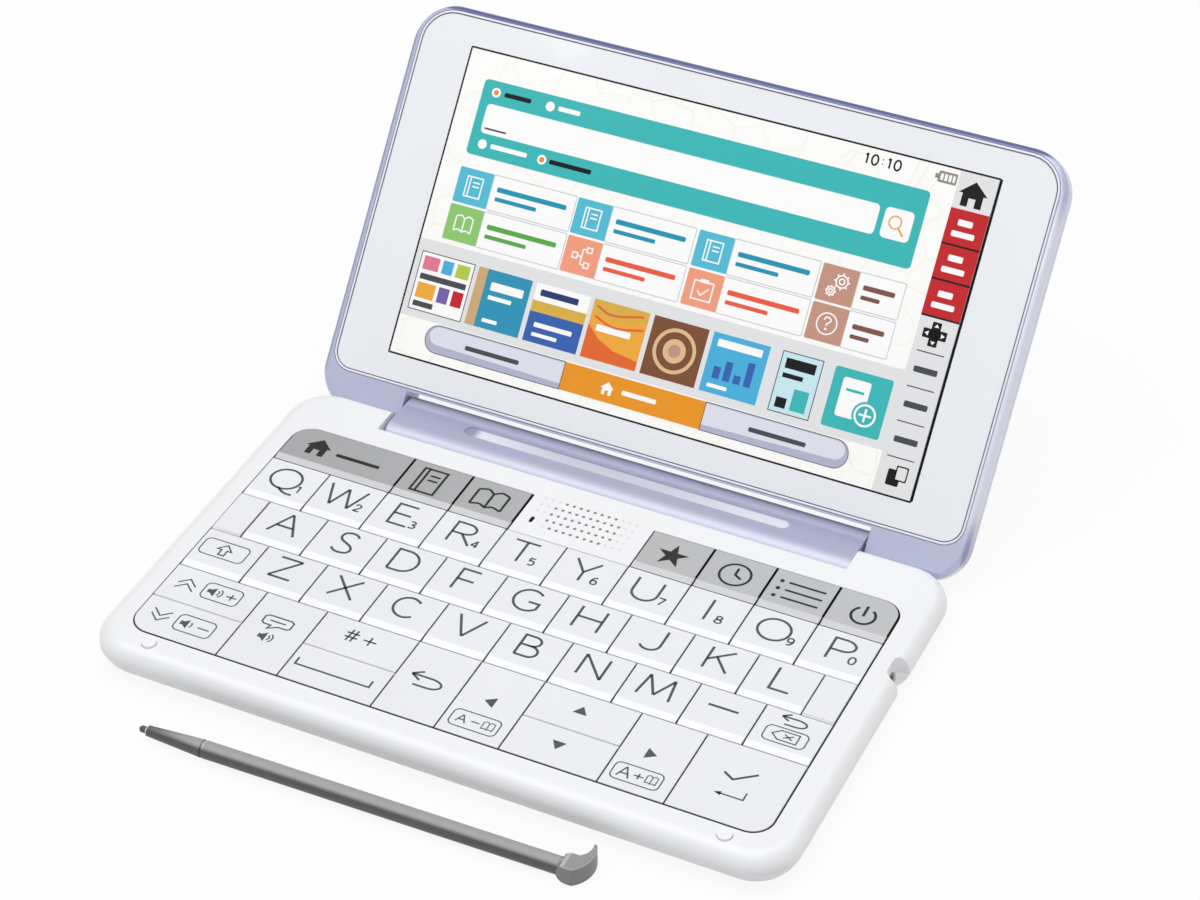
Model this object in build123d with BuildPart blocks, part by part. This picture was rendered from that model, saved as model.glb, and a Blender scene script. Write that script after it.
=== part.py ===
from build123d import *
from math import cos, radians, sin
import os

os.makedirs("parts", exist_ok=True)

# A pocket electronic dictionary, open on a table: X to the right, Y to the back, Z up.
# The origin is on the table under the middle of the case. All sizes are in millimetres.

# ---- Case
case_width = 152.6
case_depth = 93.0
case_height = 9.2
case_corner = 9.5
case_wall = 1.8
deck_thickness = 1.4
floor_thickness = 1.1
deck_edge_round = 3.6
case_taper = 24
floor_edge_round = 6.0
inside_bevel = 3.4
inside_corner = 2.4
rib_root = 0.3
foot_height = 0.4

# ---- Sides of the small round features, which are drawn as even polygons
hole_sides = 6
hidden_sides = 8
recess_sides = 12
foot_sides = 16

# ---- Hinge
hinge_height = 5.3
hinge_inset = 3.9
axis_spacing = 9.1
open_angle = 129.1
ear_width = 21.8
slot_inset = 8.1
slot_lip_round = 0.9
slot_wall = 1.5
pin_radius = 1.25
pin_reach = 7.0
pin_clearance = 0.05
pin_end_gap = 0.3
spine_side_gap = 0.5
spine_front_radius = 3.3
spine_back_radius = 2.8
barrel_length = 20.0
front_barrel_radius = 2.2
back_barrel_radius = 1.8
barrel_clearance = 0.05
saddle_thickness = 1.6
saddle_overlap = 0.2
groove_length = 76.0
groove_width = 3.2
groove_depth = 0.6
groove_offset = 4.4

# ---- Keyboard
top_letters = "qwertyuiop"
keyboard_side_margin = 6.45
keyboard_margin = 6.8
keyboard_back_gap = 6.3
top_row_extra = 0.6
pair_row_trim = 2.15
function_row_trim = 0.1
key_gap = 0.35
key_rise = 0.3
key_travel = 0.5
key_stop = 0.1
key_lip = 2.0
key_lip_drop = 0.2
key_edge = 0.12
key_skirt = 0.8
key_roof = 0.9
plunger_width = 2.4
key_corner = 4.6
pair_groove_depth = 0.45
pair_rib_gap = 0.3
pair_rib_width = 1.2
outline_groove = 1.0
tile_bevel = 0.25

# ---- Speaker and microphone in the deck
grille_counts = (8, 10, 11, 10, 8)
grille_pitch = 1.72
grille_row_pitch = 1.6
grille_hole = 0.42
grille_shift = 0.6
grille_inset = 17.7
mic_length = 2.0
mic_width = 0.85
mic_x = -10.8
mic_row = 2.55
speaker_width = 22.0
speaker_depth = 11.0
speaker_height = 2.4
speaker_corner = 3.0
speaker_rim = 1.0
speaker_rim_depth = 0.3
bay_gap = 1.0

# ---- Electronics
board_margin = 10.2
board_front_gap = 1.5
board_back_gap = 1.2
board_thickness = 0.8
board_clearance = 0.15
sheet_thickness = 0.3
sheet_inset = 0.4
dome_radius = 2.6
dome_taper = 60
dome_height = 0.3
post_radius = 1.8
post_inset_x = 28.3
post_front_inset = 4.6
post_back_step = 32.0
post_gap = 0.25
chip_size = 14.0
chip_height = 1.1
chip_inset_x = 33.1
chip_inset_y = 22.0
memory_length = 12.0
memory_width = 9.0
memory_spacing = 19.6
socket_width = 8.0
socket_depth = 5.4
socket_height = 2.6
socket_gap = 6.0
battery_length = 62.0
battery_holder_gap = 2.85
battery_height = 4.2
battery_bevel = 0.5
battery_side_gap = 12.3
battery_gap = 1.4
battery_slack = 0.2
battery_fence = 1.0
battery_fence_height = 2.2

# ---- Screws and feet
screw_inset_x = 6.8
screw_inset_y = 7.2
screw_shaft = 1.0
screw_head = 1.8
screw_head_height = 1.1
screw_clearance = 0.15
screw_recess = 0.5
screw_tip_gap = 0.5
boss_radius = 2.6
foot_radius = 4.0
foot_recess = 0.5
foot_inset_x = 16.0
foot_inset_y = 11.0
bumper_radius = 1.5
bumper_height = 0.45
bumper_inset_x = 13.6
bumper_inset_y = 4.3
pad_clearance = 0.1

# ---- Stylus and its holder
stylus_radius = 1.85
stylus_length = 96.4
nib_length = 1.8
nib_radius = 0.7
nib_bevel = 0.4
cone_length = 12.4
cone_tip_radius = 1.1
stylus_ring_groove = 0.25
stylus_ring_width = 0.5
head_length = 5.2
head_lobe = 1.9
head_thickness = 4.6
head_drop = 0.1
head_round = 2.1
head_toe = 2.0
fin_rise = 3.9
fin_tip = 0.6
fin_round = 6.2
fin_back_round = 3.4
stylus_turn = 1.0
stylus_x = -56.1
stylus_y = -57.6
holder_wall = 0.5
holder_bore_clearance = 0.2
holder_length = 93.6
holder_end = 1.2
holder_inset = 31.7
holder_seat_gap = 0.1
notch_width = 6.6
notch_depth = 3.0
notch_corner = 1.8
notch_wall = 1.0

# ---- Lid
lid_thickness = 7.3
lid_side_gap = 0.8
lid_front_gap = 1.2
lid_foot = 3.65
lid_foot_round = 3.9
lid_top_corner = 9.5
lid_foot_corner = 8.5
lid_back_round = 3.0
lid_front_round = 1.5
lid_frame_thickness = 2.25
lid_back_wall = 1.2
lid_side_wall = 1.8
lid_notch_height = 3.8
glass_side_border = 2.3
glass_top_border = 1.7
glass_foot_border = 1.15
glass_thickness = 0.8
glass_recess = 0.05
glass_clearance = 0.1
glass_top_corner = 7.0
glass_foot_corner = 4.0
glass_ledge = 1.6
panel_side_gap = 6.6
panel_end_gap = 1.025
panel_thickness = 2.0

# ---- Heights and places that follow from the sizes above
case_bottom = foot_height
deck_top = case_bottom + case_height
deck_bottom = deck_top - deck_thickness
floor_top = case_bottom + floor_thickness
key_top = deck_top + key_rise
case_back = case_depth / 2
slot_front = case_back - slot_inset
slot_width = case_width - 2 * ear_width
axis_y = case_back - hinge_inset
ear_inside = slot_width / 2
spine_length = slot_width - 2 * spine_side_gap
columns = len(top_letters)
keyboard_width = case_width - 2 * keyboard_side_margin
key_pitch = keyboard_width / columns
keyboard_front = keyboard_margin - case_depth / 2
keyboard_back = slot_front - keyboard_back_gap
row_trims = (pair_row_trim, pair_row_trim, 0, 0, -top_row_extra, function_row_trim)
letter_row = (keyboard_back - keyboard_front + sum(row_trims)) / len(row_trims)
row_edges = [keyboard_front]
for row_trim in row_trims:
    row_edges.append(row_edges[-1] + letter_row - row_trim)
holder_radius = stylus_radius + holder_bore_clearance + holder_wall
holder_y = case_back - holder_inset
holder_z = floor_top + holder_seat_gap + holder_radius
board_bottom = holder_z + holder_radius + board_clearance
board_top = board_bottom + board_thickness
sheet_top = board_top + sheet_thickness
dome_top = sheet_top + dome_height
skirt_bottom = sheet_top + key_travel + key_stop
plunger_bottom = dome_top + key_travel + key_stop
board_width = case_width - 2 * board_margin
board_front = keyboard_front + board_front_gap
board_back = slot_front - slot_wall - board_back_gap
post_x = case_width / 2 - post_inset_x
chip_x = board_width / 2 - chip_inset_x
chip_y = board_front + chip_inset_y
fence_front = board_front + battery_gap
fence_back = holder_y - holder_radius - battery_holder_gap
battery_front = fence_front + battery_fence
battery_width = fence_back - battery_fence - battery_slack - battery_front
battery_x = battery_side_gap + (battery_length - case_width) / 2
battery_y = battery_front + battery_width / 2
screw_x = case_width / 2 - screw_inset_x
screw_y = case_depth / 2 - screw_inset_y
screw_places = [(side * screw_x, y) for side in (-1, 1) for y in (-screw_y, 0, screw_y)]
foot_x = case_width / 2 - foot_inset_x
foot_y = case_depth / 2 - foot_inset_y
bumper_x = case_width / 2 - bumper_inset_x
bumper_y = bumper_inset_y - case_depth / 2
grille_y = case_back - grille_inset
mouth_x = case_width / 2 - notch_depth
lid_width = case_width - 2 * lid_side_gap
lid_reach = axis_y + case_depth / 2 - lid_front_gap
lid_angle = radians(180 - open_angle)
lid_half = lid_thickness / 2
lid_plane = Plane(
    origin=(0, axis_y + axis_spacing, hinge_height),
    x_dir=(1, 0, 0),
    z_dir=(0, -sin(lid_angle), cos(lid_angle)),
)
frame_back = lid_half - lid_frame_thickness
glass_front = lid_half - glass_recess
glass_back = glass_front - glass_thickness
glass_low = lid_notch_height + glass_foot_border
glass_high = lid_reach - glass_top_border
glass_half = lid_width / 2 - glass_side_border
panel_width = 2 * (glass_half - glass_ledge - panel_side_gap)
panel_height = glass_high - glass_low - 2 * (glass_ledge + panel_end_gap)


def save(piece, name):
    """Label a finished piece and write its file."""
    piece.label = name
    export_step(piece, f"parts/{name}.step")


def column_x(column):
    """X of a column boundary, counted from the left edge of the keyboard."""
    return (column - columns / 2) * key_pitch


# ---- Case shells


def case_outline(height, inset):
    """Rounded outline of the case, drawn inwards by inset."""
    with BuildSketch(Plane.XY.offset(height)) as outline:
        RectangleRounded(case_width - 2 * inset, case_depth - 2 * inset, case_corner - inset)
    return outline.sketch


def slot_outline(height, wall):
    """The opening between the ears where the spine turns, grown by wall."""
    with BuildSketch(Plane.XY.offset(height)) as outline:
        with Locations((0, slot_front - wall)):
            Rectangle(slot_width + 2 * wall, slot_inset + 2 * wall, align=(Align.CENTER, Align.MIN))
    return outline.sketch


def cavity_outline(height):
    """Hollow inside of the case, which keeps clear of the slot wall."""
    with BuildSketch(Plane.XY.offset(height)) as outline:
        add(case_outline(0, case_wall))
        add(slot_outline(0, slot_wall), mode=Mode.SUBTRACT)
    return outline.sketch


def saddle_outline(height):
    """Ribs inside both ears that hold the tips of the hinge pins."""
    rib_x = ear_inside + pin_reach - saddle_thickness / 2
    with BuildSketch(Plane.XY.offset(height)) as outline:
        with Locations((-rib_x, axis_y), (rib_x, axis_y)):
            Rectangle(saddle_thickness, 2 * (hinge_inset - case_wall + saddle_overlap))
    return outline.sketch


def key_window(height):
    """Deck opening round the keys, with the speaker tongue and the two blank half tiles."""
    half_gap = key_gap / 2
    width = keyboard_width + key_gap
    depth = keyboard_back - keyboard_front + key_gap
    home_low, home_high = row_edges[3], row_edges[4]
    with BuildSketch(Plane.XY.offset(height)) as outline:
        with Locations((0, (keyboard_front + keyboard_back) / 2)):
            RectangleRounded(width, depth, key_corner + half_gap)
        with Locations((0, row_edges[5] + half_gap)):
            Rectangle(
                2 * key_pitch - key_gap,
                2 * (keyboard_back - row_edges[5]),
                align=(Align.CENTER, Align.MIN),
                mode=Mode.SUBTRACT,
            )
        for side in (-1, 1):
            with Locations((side * (keyboard_width / 2), (home_low + home_high) / 2)):
                Rectangle(key_pitch - key_gap, letter_row - key_gap, mode=Mode.SUBTRACT)
    return outline.sketch


def half_tiles(height):
    """The raised blank half tiles at both ends of the home row."""
    width = key_pitch / 2 - key_gap
    center = keyboard_width / 2 - key_pitch / 4
    with BuildSketch(Plane.XY.offset(height)) as outline:
        for side in (-1, 1):
            with Locations((side * center, (row_edges[3] + row_edges[4]) / 2)):
                Rectangle(width, letter_row - key_gap)
    return outline.sketch


def grille_rows():
    """Centres of the speaker holes, in staggered rows that lean to the right at the back."""
    places = []
    middle = (len(grille_counts) - 1) / 2
    for row, count in enumerate(grille_counts):
        y = grille_y + (row - middle) * grille_row_pitch
        shift = (row - middle) * grille_shift
        for step in range(count):
            places.append((shift + (step - (count - 1) / 2) * grille_pitch, y))
    return places


def stylus_notch(height):
    """Finger notch in the right edge, where the stylus head sits."""
    with BuildSketch(Plane.XY.offset(height)) as outline:
        with Locations((mouth_x, holder_y)):
            Rectangle(2 * notch_depth, notch_width, align=(Align.MIN, Align.CENTER))
        fillet(outline.vertices().group_by(Axis.X)[0], notch_corner)
    return outline.sketch


def notch_surround(height):
    """The wall that closes the notch off from the inside of the case."""
    length = notch_depth + notch_wall - case_wall / 2
    with BuildSketch(Plane.XY.offset(height)) as outline:
        with Locations((mouth_x - notch_wall, holder_y)):
            Rectangle(length, notch_width + 2 * notch_wall, align=(Align.MIN, Align.CENTER))
        fillet(outline.vertices().group_by(Axis.X)[0], notch_corner + notch_wall)
    return outline.sketch


def holder_port():
    """Round hole in the notch wall that the mouth of the stylus holder fills."""
    with BuildSketch(Plane.YZ.offset(mouth_x + notch_corner)) as outline:
        with Locations((holder_y, holder_z)):
            Circle(holder_radius + holder_seat_gap)
    return outline.sketch


def hinge_bore_outline():
    """Circle of the pin bore, on the axis of the case hinge."""
    with BuildSketch(Plane.YZ) as outline:
        with Locations((axis_y, hinge_height)):
            Circle(pin_radius + pin_clearance)
    return outline.sketch


shell_height = deck_top - hinge_height
window_bottom = skirt_bottom - key_travel - key_stop
with BuildPart() as upper_case:
    extrude(case_outline(hinge_height, 0), amount=shell_height)
    fillet(upper_case.edges().group_by(Axis.Z)[-1], deck_edge_round)
    extrude(cavity_outline(hinge_height), amount=deck_bottom - hinge_height, mode=Mode.SUBTRACT)
    extrude(saddle_outline(hinge_height), amount=deck_bottom - hinge_height)
    extrude(notch_surround(hinge_height), amount=deck_bottom - hinge_height)
    with BuildSketch(Plane.XY.offset(hinge_height)) as boss_sketch:
        with Locations(screw_places):
            RegularPolygon(boss_radius, hidden_sides)
    extrude(amount=deck_bottom - hinge_height)
    extrude(slot_outline(hinge_height, 0), amount=shell_height, mode=Mode.SUBTRACT)
    slot_lip = upper_case.edges().filter_by(Axis.X).filter_by_position(
        Axis.Y, slot_front - 0.01, slot_front + 0.01
    )
    fillet(slot_lip.sort_by(Axis.Z)[-1], slot_lip_round)
    extrude(key_window(window_bottom), amount=deck_top - window_bottom, mode=Mode.SUBTRACT)
    extrude(half_tiles(deck_top), amount=key_rise)
    tile_fronts = upper_case.edges().filter_by(Axis.X).group_by(Axis.Z)[-1].group_by(Axis.Y)[0]
    chamfer(tile_fronts, tile_bevel)
    with BuildSketch(Plane.XY.offset(deck_top + key_rise)) as outline_cut:
        for side in (-1, 1):
            with Locations((side * keyboard_width / 2, (row_edges[3] + row_edges[4]) / 2)):
                Rectangle(key_gap, letter_row + key_gap)
    extrude(amount=-outline_groove - key_rise, mode=Mode.SUBTRACT)
    with BuildSketch(Plane.XY.offset(deck_top)) as hole_sketch:
        with Locations(grille_rows()):
            RegularPolygon(grille_hole, hole_sides)
        with Locations((mic_x, grille_y - mic_row * grille_row_pitch)):
            SlotOverall(mic_length, mic_width, rotation=90)
    extrude(amount=-deck_thickness, mode=Mode.SUBTRACT)
    with BuildSketch(Plane.XY.offset(deck_top)) as bumper_seats:
        with Locations((-bumper_x, bumper_y), (bumper_x, bumper_y)):
            RegularPolygon(bumper_radius + pad_clearance, foot_sides)
    extrude(amount=-foot_recess, mode=Mode.SUBTRACT)
    with BuildSketch(Plane.XY.offset(hinge_height)) as pilot_sketch:
        with Locations(screw_places):
            RegularPolygon(screw_shaft + pin_clearance, hidden_sides)
    extrude(amount=deck_bottom - hinge_height, mode=Mode.SUBTRACT)
    extrude(stylus_notch(hinge_height), amount=shell_height, mode=Mode.SUBTRACT)
    extrude(holder_port(), amount=-2 * inside_bevel, mode=Mode.SUBTRACT)
    extrude(hinge_bore_outline(), amount=ear_inside + pin_reach + pin_end_gap, both=True, mode=Mode.SUBTRACT)
save(upper_case.part, "upper_case")


def board_posts(height):
    """Posts that carry the circuit board."""
    front = board_front + post_front_inset
    back = front + post_back_step
    rear = holder_y + holder_radius + post_radius + post_gap
    with BuildSketch(Plane.XY.offset(height)) as outline:
        with Locations((post_x, front), (post_x, back), (0, rear), (-post_x, rear)):
            RegularPolygon(post_radius, hidden_sides)
    return outline.sketch


fence_length = battery_length + 2 * (battery_slack + battery_fence)
fence_width = battery_width + 2 * (battery_slack + battery_fence)
root_bottom = floor_top - rib_root
lower_height = hinge_height - case_bottom
with BuildPart() as tray:
    extrude(case_outline(hinge_height, 0), amount=-lower_height, taper=case_taper)
    fillet(tray.edges().group_by(Axis.Z)[0], floor_edge_round)

with BuildPart() as tray_inside:
    extrude(cavity_outline(floor_top), amount=hinge_height - floor_top)
    chamfer(tray_inside.edges().group_by(Axis.Z)[0], inside_bevel)

with BuildPart() as lower_case:
    add(tray.part)
    add(tray_inside.part, mode=Mode.SUBTRACT)
    extrude(saddle_outline(root_bottom), amount=hinge_height - root_bottom)
    extrude(notch_surround(root_bottom), amount=hinge_height - root_bottom)
    with BuildSketch(Plane.XY.offset(root_bottom)) as lower_bosses:
        with Locations(screw_places):
            RegularPolygon(boss_radius, hidden_sides)
    extrude(amount=hinge_height - root_bottom)
    extrude(board_posts(root_bottom), amount=board_bottom - root_bottom)
    with BuildSketch(Plane.XY.offset(root_bottom)) as fence_sketch:
        with Locations((battery_x, battery_y)):
            Rectangle(fence_length, fence_width)
            Rectangle(fence_length - 2 * battery_fence, fence_width - 2 * battery_fence, mode=Mode.SUBTRACT)
    extrude(amount=battery_fence_height + rib_root)
    add(tray.part, mode=Mode.INTERSECT)
    extrude(slot_outline(case_bottom, 0), amount=lower_height, mode=Mode.SUBTRACT)
    with BuildSketch(Plane.XY.offset(case_bottom)) as head_recess:
        with Locations(screw_places):
            RegularPolygon(screw_head + screw_clearance, recess_sides, major_radius=False)
    extrude(amount=screw_recess + screw_head_height, mode=Mode.SUBTRACT)
    with BuildSketch(Plane.XY.offset(case_bottom)) as shaft_holes:
        with Locations(screw_places):
            RegularPolygon(screw_shaft + screw_clearance, hidden_sides)
    extrude(amount=lower_height, mode=Mode.SUBTRACT)
    with BuildSketch(Plane.XY.offset(case_bottom)) as foot_seats:
        with GridLocations(2 * foot_x, 2 * foot_y, 2, 2):
            RegularPolygon(foot_radius + pad_clearance, foot_sides)
    extrude(amount=foot_recess, mode=Mode.SUBTRACT)
    extrude(stylus_notch(floor_top), amount=lower_height, mode=Mode.SUBTRACT)
    extrude(holder_port(), amount=-2 * inside_bevel, mode=Mode.SUBTRACT)
    extrude(hinge_bore_outline(), amount=ear_inside + pin_reach + pin_end_gap, both=True, mode=Mode.SUBTRACT)
save(lower_case.part, "lower_case")


# ---- Keys

def cap_outline(height, west, east, south, north, inset, corner):
    """Outline of a key cap from its cell, drawn inwards, with one rounded outer corner."""
    margin = key_gap / 2 + inset
    width = east - west - 2 * margin
    depth = north - south - 2 * margin
    with BuildSketch(Plane.XY.offset(height)) as outline:
        with Locations(((west + east) / 2, (south + north) / 2)):
            Rectangle(width, depth)
        if corner:
            x_side = 0 if "left" in corner else -1
            y_side = 0 if "front" in corner else -1
            end = outline.vertices().group_by(Axis.X)[x_side].sort_by(Axis.Y)[y_side]
            fillet(end, key_corner - key_gap / 2 - inset)
    return outline.sketch


def make_key(name, first, last, south, north, lip=True, corner=""):
    """One hollow key cap with its plunger. The front lip slopes down on the upper rows."""
    west, east = column_x(first), column_x(last)
    middle = ((west + east) / 2, (south + north) / 2)
    with BuildPart() as cap:
        extrude(cap_outline(skirt_bottom, west, east, south, north, 0, corner), amount=key_top - skirt_bottom)
        top_edges = cap.edges().group_by(Axis.Z)[-1]
        if lip:
            front_edge = top_edges.filter_by(Axis.X).sort_by(Axis.Y)[0]
            chamfer(front_edge, key_lip, key_lip_drop, reference=cap.faces().sort_by(Axis.Z)[-1])
            chamfer(cap.edges().group_by(Axis.Z)[-1].sort_by(Axis.Y)[1:], key_edge)
        else:
            chamfer(top_edges, key_edge)
        hollow = cap_outline(skirt_bottom, west, east, south, north, key_skirt, corner)
        extrude(hollow, amount=key_top - key_roof - skirt_bottom, mode=Mode.SUBTRACT)
        with BuildSketch(Plane.XY.offset(plunger_bottom)) as plunger:
            with Locations(middle):
                Rectangle(plunger_width, plunger_width)
        extrude(amount=key_top - key_roof - plunger_bottom)
    save(cap.part, name)
    return middle


def make_pair(name, first, last, corner=""):
    """Two stacked keys on one rocking cap, which tilts on the rib below its middle."""
    west, east = column_x(first), column_x(last)
    south, split, north = row_edges[0], row_edges[1], row_edges[2]
    plungers = [((west + east) / 2, (south + split) / 2), ((west + east) / 2, (split + north) / 2)]
    with BuildPart() as cap:
        extrude(cap_outline(skirt_bottom, west, east, south, north, 0, corner), amount=key_top - skirt_bottom)
        chamfer(cap.edges().group_by(Axis.Z)[-1], key_edge)
        hollow = cap_outline(skirt_bottom, west, east, south, north, key_skirt, corner)
        extrude(hollow, amount=key_top - key_roof - skirt_bottom, mode=Mode.SUBTRACT)
        with BuildSketch(Plane.XY.offset(plunger_bottom)) as plunger:
            with Locations(plungers):
                Rectangle(plunger_width, plunger_width)
        extrude(amount=key_top - key_roof - plunger_bottom)
        with BuildSketch(Plane.XY.offset(key_top)) as groove:
            with Locations(((west + east) / 2, split)):
                Rectangle(east - west, key_gap)
        extrude(amount=-pair_groove_depth, mode=Mode.SUBTRACT)
    save(cap.part, name)
    return plungers


def make_letters(letters, start, south, north):
    """A row of letter keys, from a column position on the left."""
    places = []
    for first, letter in enumerate(letters):
        west = start + first
        places.append(make_key(f"key_{letter}", west, west + 1, south, north))
    return places


dome_places = []

# Function row, with the speaker tongue between its two halves.
function_edges = (row_edges[5], row_edges[6])
dome_places.append(make_key("home_key", 0, 2, *function_edges, corner="back left"))
for first, name in enumerate(("native_key", "foreign_key"), start=2):
    dome_places.append(make_key(name, first, first + 1, *function_edges))
for first, name in enumerate(("my_books_key", "history_key", "contents_key"), start=6):
    dome_places.append(make_key(name, first, first + 1, *function_edges))
dome_places.append(make_key("power_key", 9, 10, *function_edges, corner="back right"))

# Letter rows. The home row starts half a pitch in, and the lower row one pitch in.
lower_edges = (row_edges[2], row_edges[3])
dome_places.extend(make_letters(top_letters, 0, row_edges[4], row_edges[5]))
dome_places.extend(make_letters("asdfghjkl", 0.5, row_edges[3], row_edges[4]))
dome_places.extend(make_letters("zxcvbnm", 1, *lower_edges))
dome_places.append(make_key("shift_key", 0, 1, *lower_edges))
dome_places.append(make_key("dash_key", 8, 9, *lower_edges))
dome_places.append(make_key("delete_key", 9, 10, *lower_edges))

# The two front rows: tall keys, and stacked pairs on rocking caps.
front_edges = (row_edges[0], row_edges[2])
pair_spans = {"page_rocker": (0, 1.5), "symbol_space_rocker": (2.5, 4), "cursor_rocker": (6, 7.5)}
for name, (first, last) in pair_spans.items():
    dome_places.extend(make_pair(name, first, last, "front left" if first == 0 else ""))
tall_spans = {"voice_key": (1.5, 2.5), "back_key": (4, 5), "left_key": (5, 6), "right_key": (7.5, 8.5)}
for name, (first, last) in tall_spans.items():
    dome_places.append(make_key(name, first, last, *front_edges, lip=False))
dome_places.append(make_key("enter_key", 8.5, 10, *front_edges, lip=False, corner="front right"))


# ---- Inside the case


def board_outline(height, inset):
    """Outline of the circuit board, with a bay at the back for the speaker."""
    with BuildSketch(Plane.XY.offset(height)) as outline:
        with Locations((0, (board_front + board_back) / 2)):
            Rectangle(board_width - 2 * inset, board_back - board_front - 2 * inset)
        with Locations((0, grille_y)):
            bay = speaker_width + 2 * bay_gap + 2 * inset
            low = speaker_depth / 2 + bay_gap + inset
            with Locations((0, -low)):
                Rectangle(bay, board_back, align=(Align.CENTER, Align.MIN), mode=Mode.SUBTRACT)
    return outline.sketch


with BuildPart() as keypad_sheet:
    extrude(board_outline(board_top, sheet_inset), amount=sheet_thickness)
    with BuildSketch(Plane.XY.offset(sheet_top)) as domes:
        with Locations(dome_places):
            RegularPolygon(dome_radius, hole_sides)
    extrude(amount=dome_height, taper=dome_taper)
    with BuildSketch(Plane.XY.offset(sheet_top)) as ribs:
        for first, last in pair_spans.values():
            with Locations((column_x((first + last) / 2), row_edges[1])):
                Rectangle((last - first) * key_pitch / 2, pair_rib_width)
    extrude(amount=skirt_bottom - pair_rib_gap - sheet_top)
save(keypad_sheet.part, "keypad_sheet")

with BuildPart() as circuit_board:
    extrude(board_outline(board_bottom, 0), amount=board_thickness)
    with BuildSketch(Plane.XY.offset(board_bottom)) as chips:
        with Locations((chip_x, chip_y)):
            Rectangle(chip_size, chip_size)
        with Locations((chip_x - memory_spacing, chip_y), (chip_x - memory_spacing, chip_y - chip_size)):
            Rectangle(memory_length, memory_width)
    extrude(amount=-chip_height)
    with BuildSketch(Plane.XY.offset(board_bottom)) as socket:
        with Locations((battery_x + battery_length / 2 + socket_gap, battery_y)):
            Rectangle(socket_depth, socket_width)
    extrude(amount=-socket_height)
save(circuit_board.part, "circuit_board")

with BuildPart() as battery_pack:
    with BuildSketch(Plane.XY.offset(floor_top)) as pouch:
        with Locations((battery_x, battery_y)):
            Rectangle(battery_length, battery_width)
    extrude(amount=battery_height)
    chamfer(battery_pack.edges().group_by(Axis.Z)[-1], battery_bevel)
save(battery_pack.part, "battery_pack")

with BuildPart() as speaker:
    with BuildSketch(Plane.XY.offset(deck_bottom)) as frame_sketch:
        with Locations((0, grille_y)):
            Rectangle(speaker_width, speaker_depth)
    extrude(amount=-speaker_height)
    chamfer(speaker.edges().filter_by(Axis.Z), speaker_corner)
    with BuildSketch(Plane.XY.offset(deck_bottom)) as cone_sketch:
        with Locations((0, grille_y)):
            Rectangle(speaker_width - 2 * speaker_corner, speaker_depth - 2 * speaker_rim)
    extrude(amount=-speaker_rim_depth, mode=Mode.SUBTRACT)
save(speaker.part, "speaker")

with BuildPart() as stylus_holder:
    with BuildSketch(Plane.YZ.offset(mouth_x)) as tube:
        with Locations((holder_y, holder_z)):
            Circle(holder_radius)
    extrude(amount=-holder_length - holder_end)
    with BuildSketch(Plane.YZ.offset(mouth_x)) as bore:
        with Locations((holder_y, holder_z)):
            Circle(holder_radius - holder_wall)
    extrude(amount=-holder_length, mode=Mode.SUBTRACT)
save(stylus_holder.part, "stylus_holder")

with BuildPart() as case_screws:
    with BuildSketch(Plane.XY.offset(case_bottom + screw_recess)) as heads:
        with Locations(screw_places):
            RegularPolygon(screw_head, recess_sides)
    extrude(amount=screw_head_height)
    with BuildSketch(Plane.XY.offset(case_bottom + screw_recess + screw_head_height)) as shafts:
        with Locations(screw_places):
            RegularPolygon(screw_shaft, hidden_sides)
    extrude(amount=deck_bottom - screw_tip_gap - case_bottom - screw_recess - screw_head_height)
save(case_screws.part, "case_screws")

with BuildPart() as rubber_feet:
    with BuildSketch(Plane.XY) as feet:
        with GridLocations(2 * foot_x, 2 * foot_y, 2, 2):
            RegularPolygon(foot_radius, foot_sides)
    extrude(amount=foot_height + foot_recess)
    with BuildSketch(Plane.XY.offset(deck_top - foot_recess)) as bumpers:
        with Locations((-bumper_x, bumper_y), (bumper_x, bumper_y)):
            RegularPolygon(bumper_radius, foot_sides)
    extrude(amount=foot_recess + bumper_height)
save(rubber_feet.part, "rubber_feet")


# ---- Spine and hinge units


def spine_circles(front, back, joined=False):
    """Two circles, on the case axis and on the lid axis, or the outline drawn round both."""
    with BuildSketch(Plane.YZ) as circles:
        with Locations((axis_y, hinge_height)):
            Circle(front)
        with Locations((axis_y + axis_spacing, hinge_height)):
            Circle(back)
        if joined:
            make_hull()
    return circles.sketch


def barrel_outlines(grow):
    """The flat-sided barrels of the hinge units, which cannot turn in the spine."""
    with BuildSketch(Plane.YZ) as barrels:
        with Locations((axis_y, hinge_height)):
            RegularPolygon(front_barrel_radius + grow, hidden_sides, major_radius=False)
        with Locations((axis_y + axis_spacing, hinge_height)):
            RegularPolygon(back_barrel_radius + grow, hidden_sides, major_radius=False)
    return barrels.sketch


def both_ends(sketch, start, end):
    """Extrude a sketch on the YZ plane between two distances, on both sides of the middle."""
    with BuildPart() as pieces:
        extrude(sketch.moved(Location((start, 0, 0))), amount=end - start)
        mirror(about=Plane.YZ)
    return pieces.part


barrel_start = spine_length / 2 - barrel_length
with BuildPart() as spine_cover:
    outline = spine_circles(spine_front_radius, spine_back_radius, joined=True)
    extrude(outline, amount=spine_length / 2, both=True)
    with BuildSketch(Plane.XY.offset(hinge_height + spine_front_radius)) as groove_sketch:
        with Locations((0, axis_y + groove_offset)):
            SlotOverall(groove_length, groove_width)
    extrude(amount=-groove_depth, mode=Mode.SUBTRACT)
    sockets = barrel_outlines(barrel_clearance)
    add(both_ends(sockets, barrel_start - barrel_clearance, spine_length / 2), mode=Mode.SUBTRACT)
save(spine_cover.part, "spine_cover")

with BuildPart() as hinge_units:
    add(both_ends(barrel_outlines(0), barrel_start, spine_length / 2))
    add(both_ends(spine_circles(pin_radius, pin_radius), spine_length / 2, ear_inside + pin_reach))
save(hinge_units.part, "hinge_units")


# ---- Lid, drawn flat with its hinge axis on X and its screen facing up, then swung open


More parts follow.
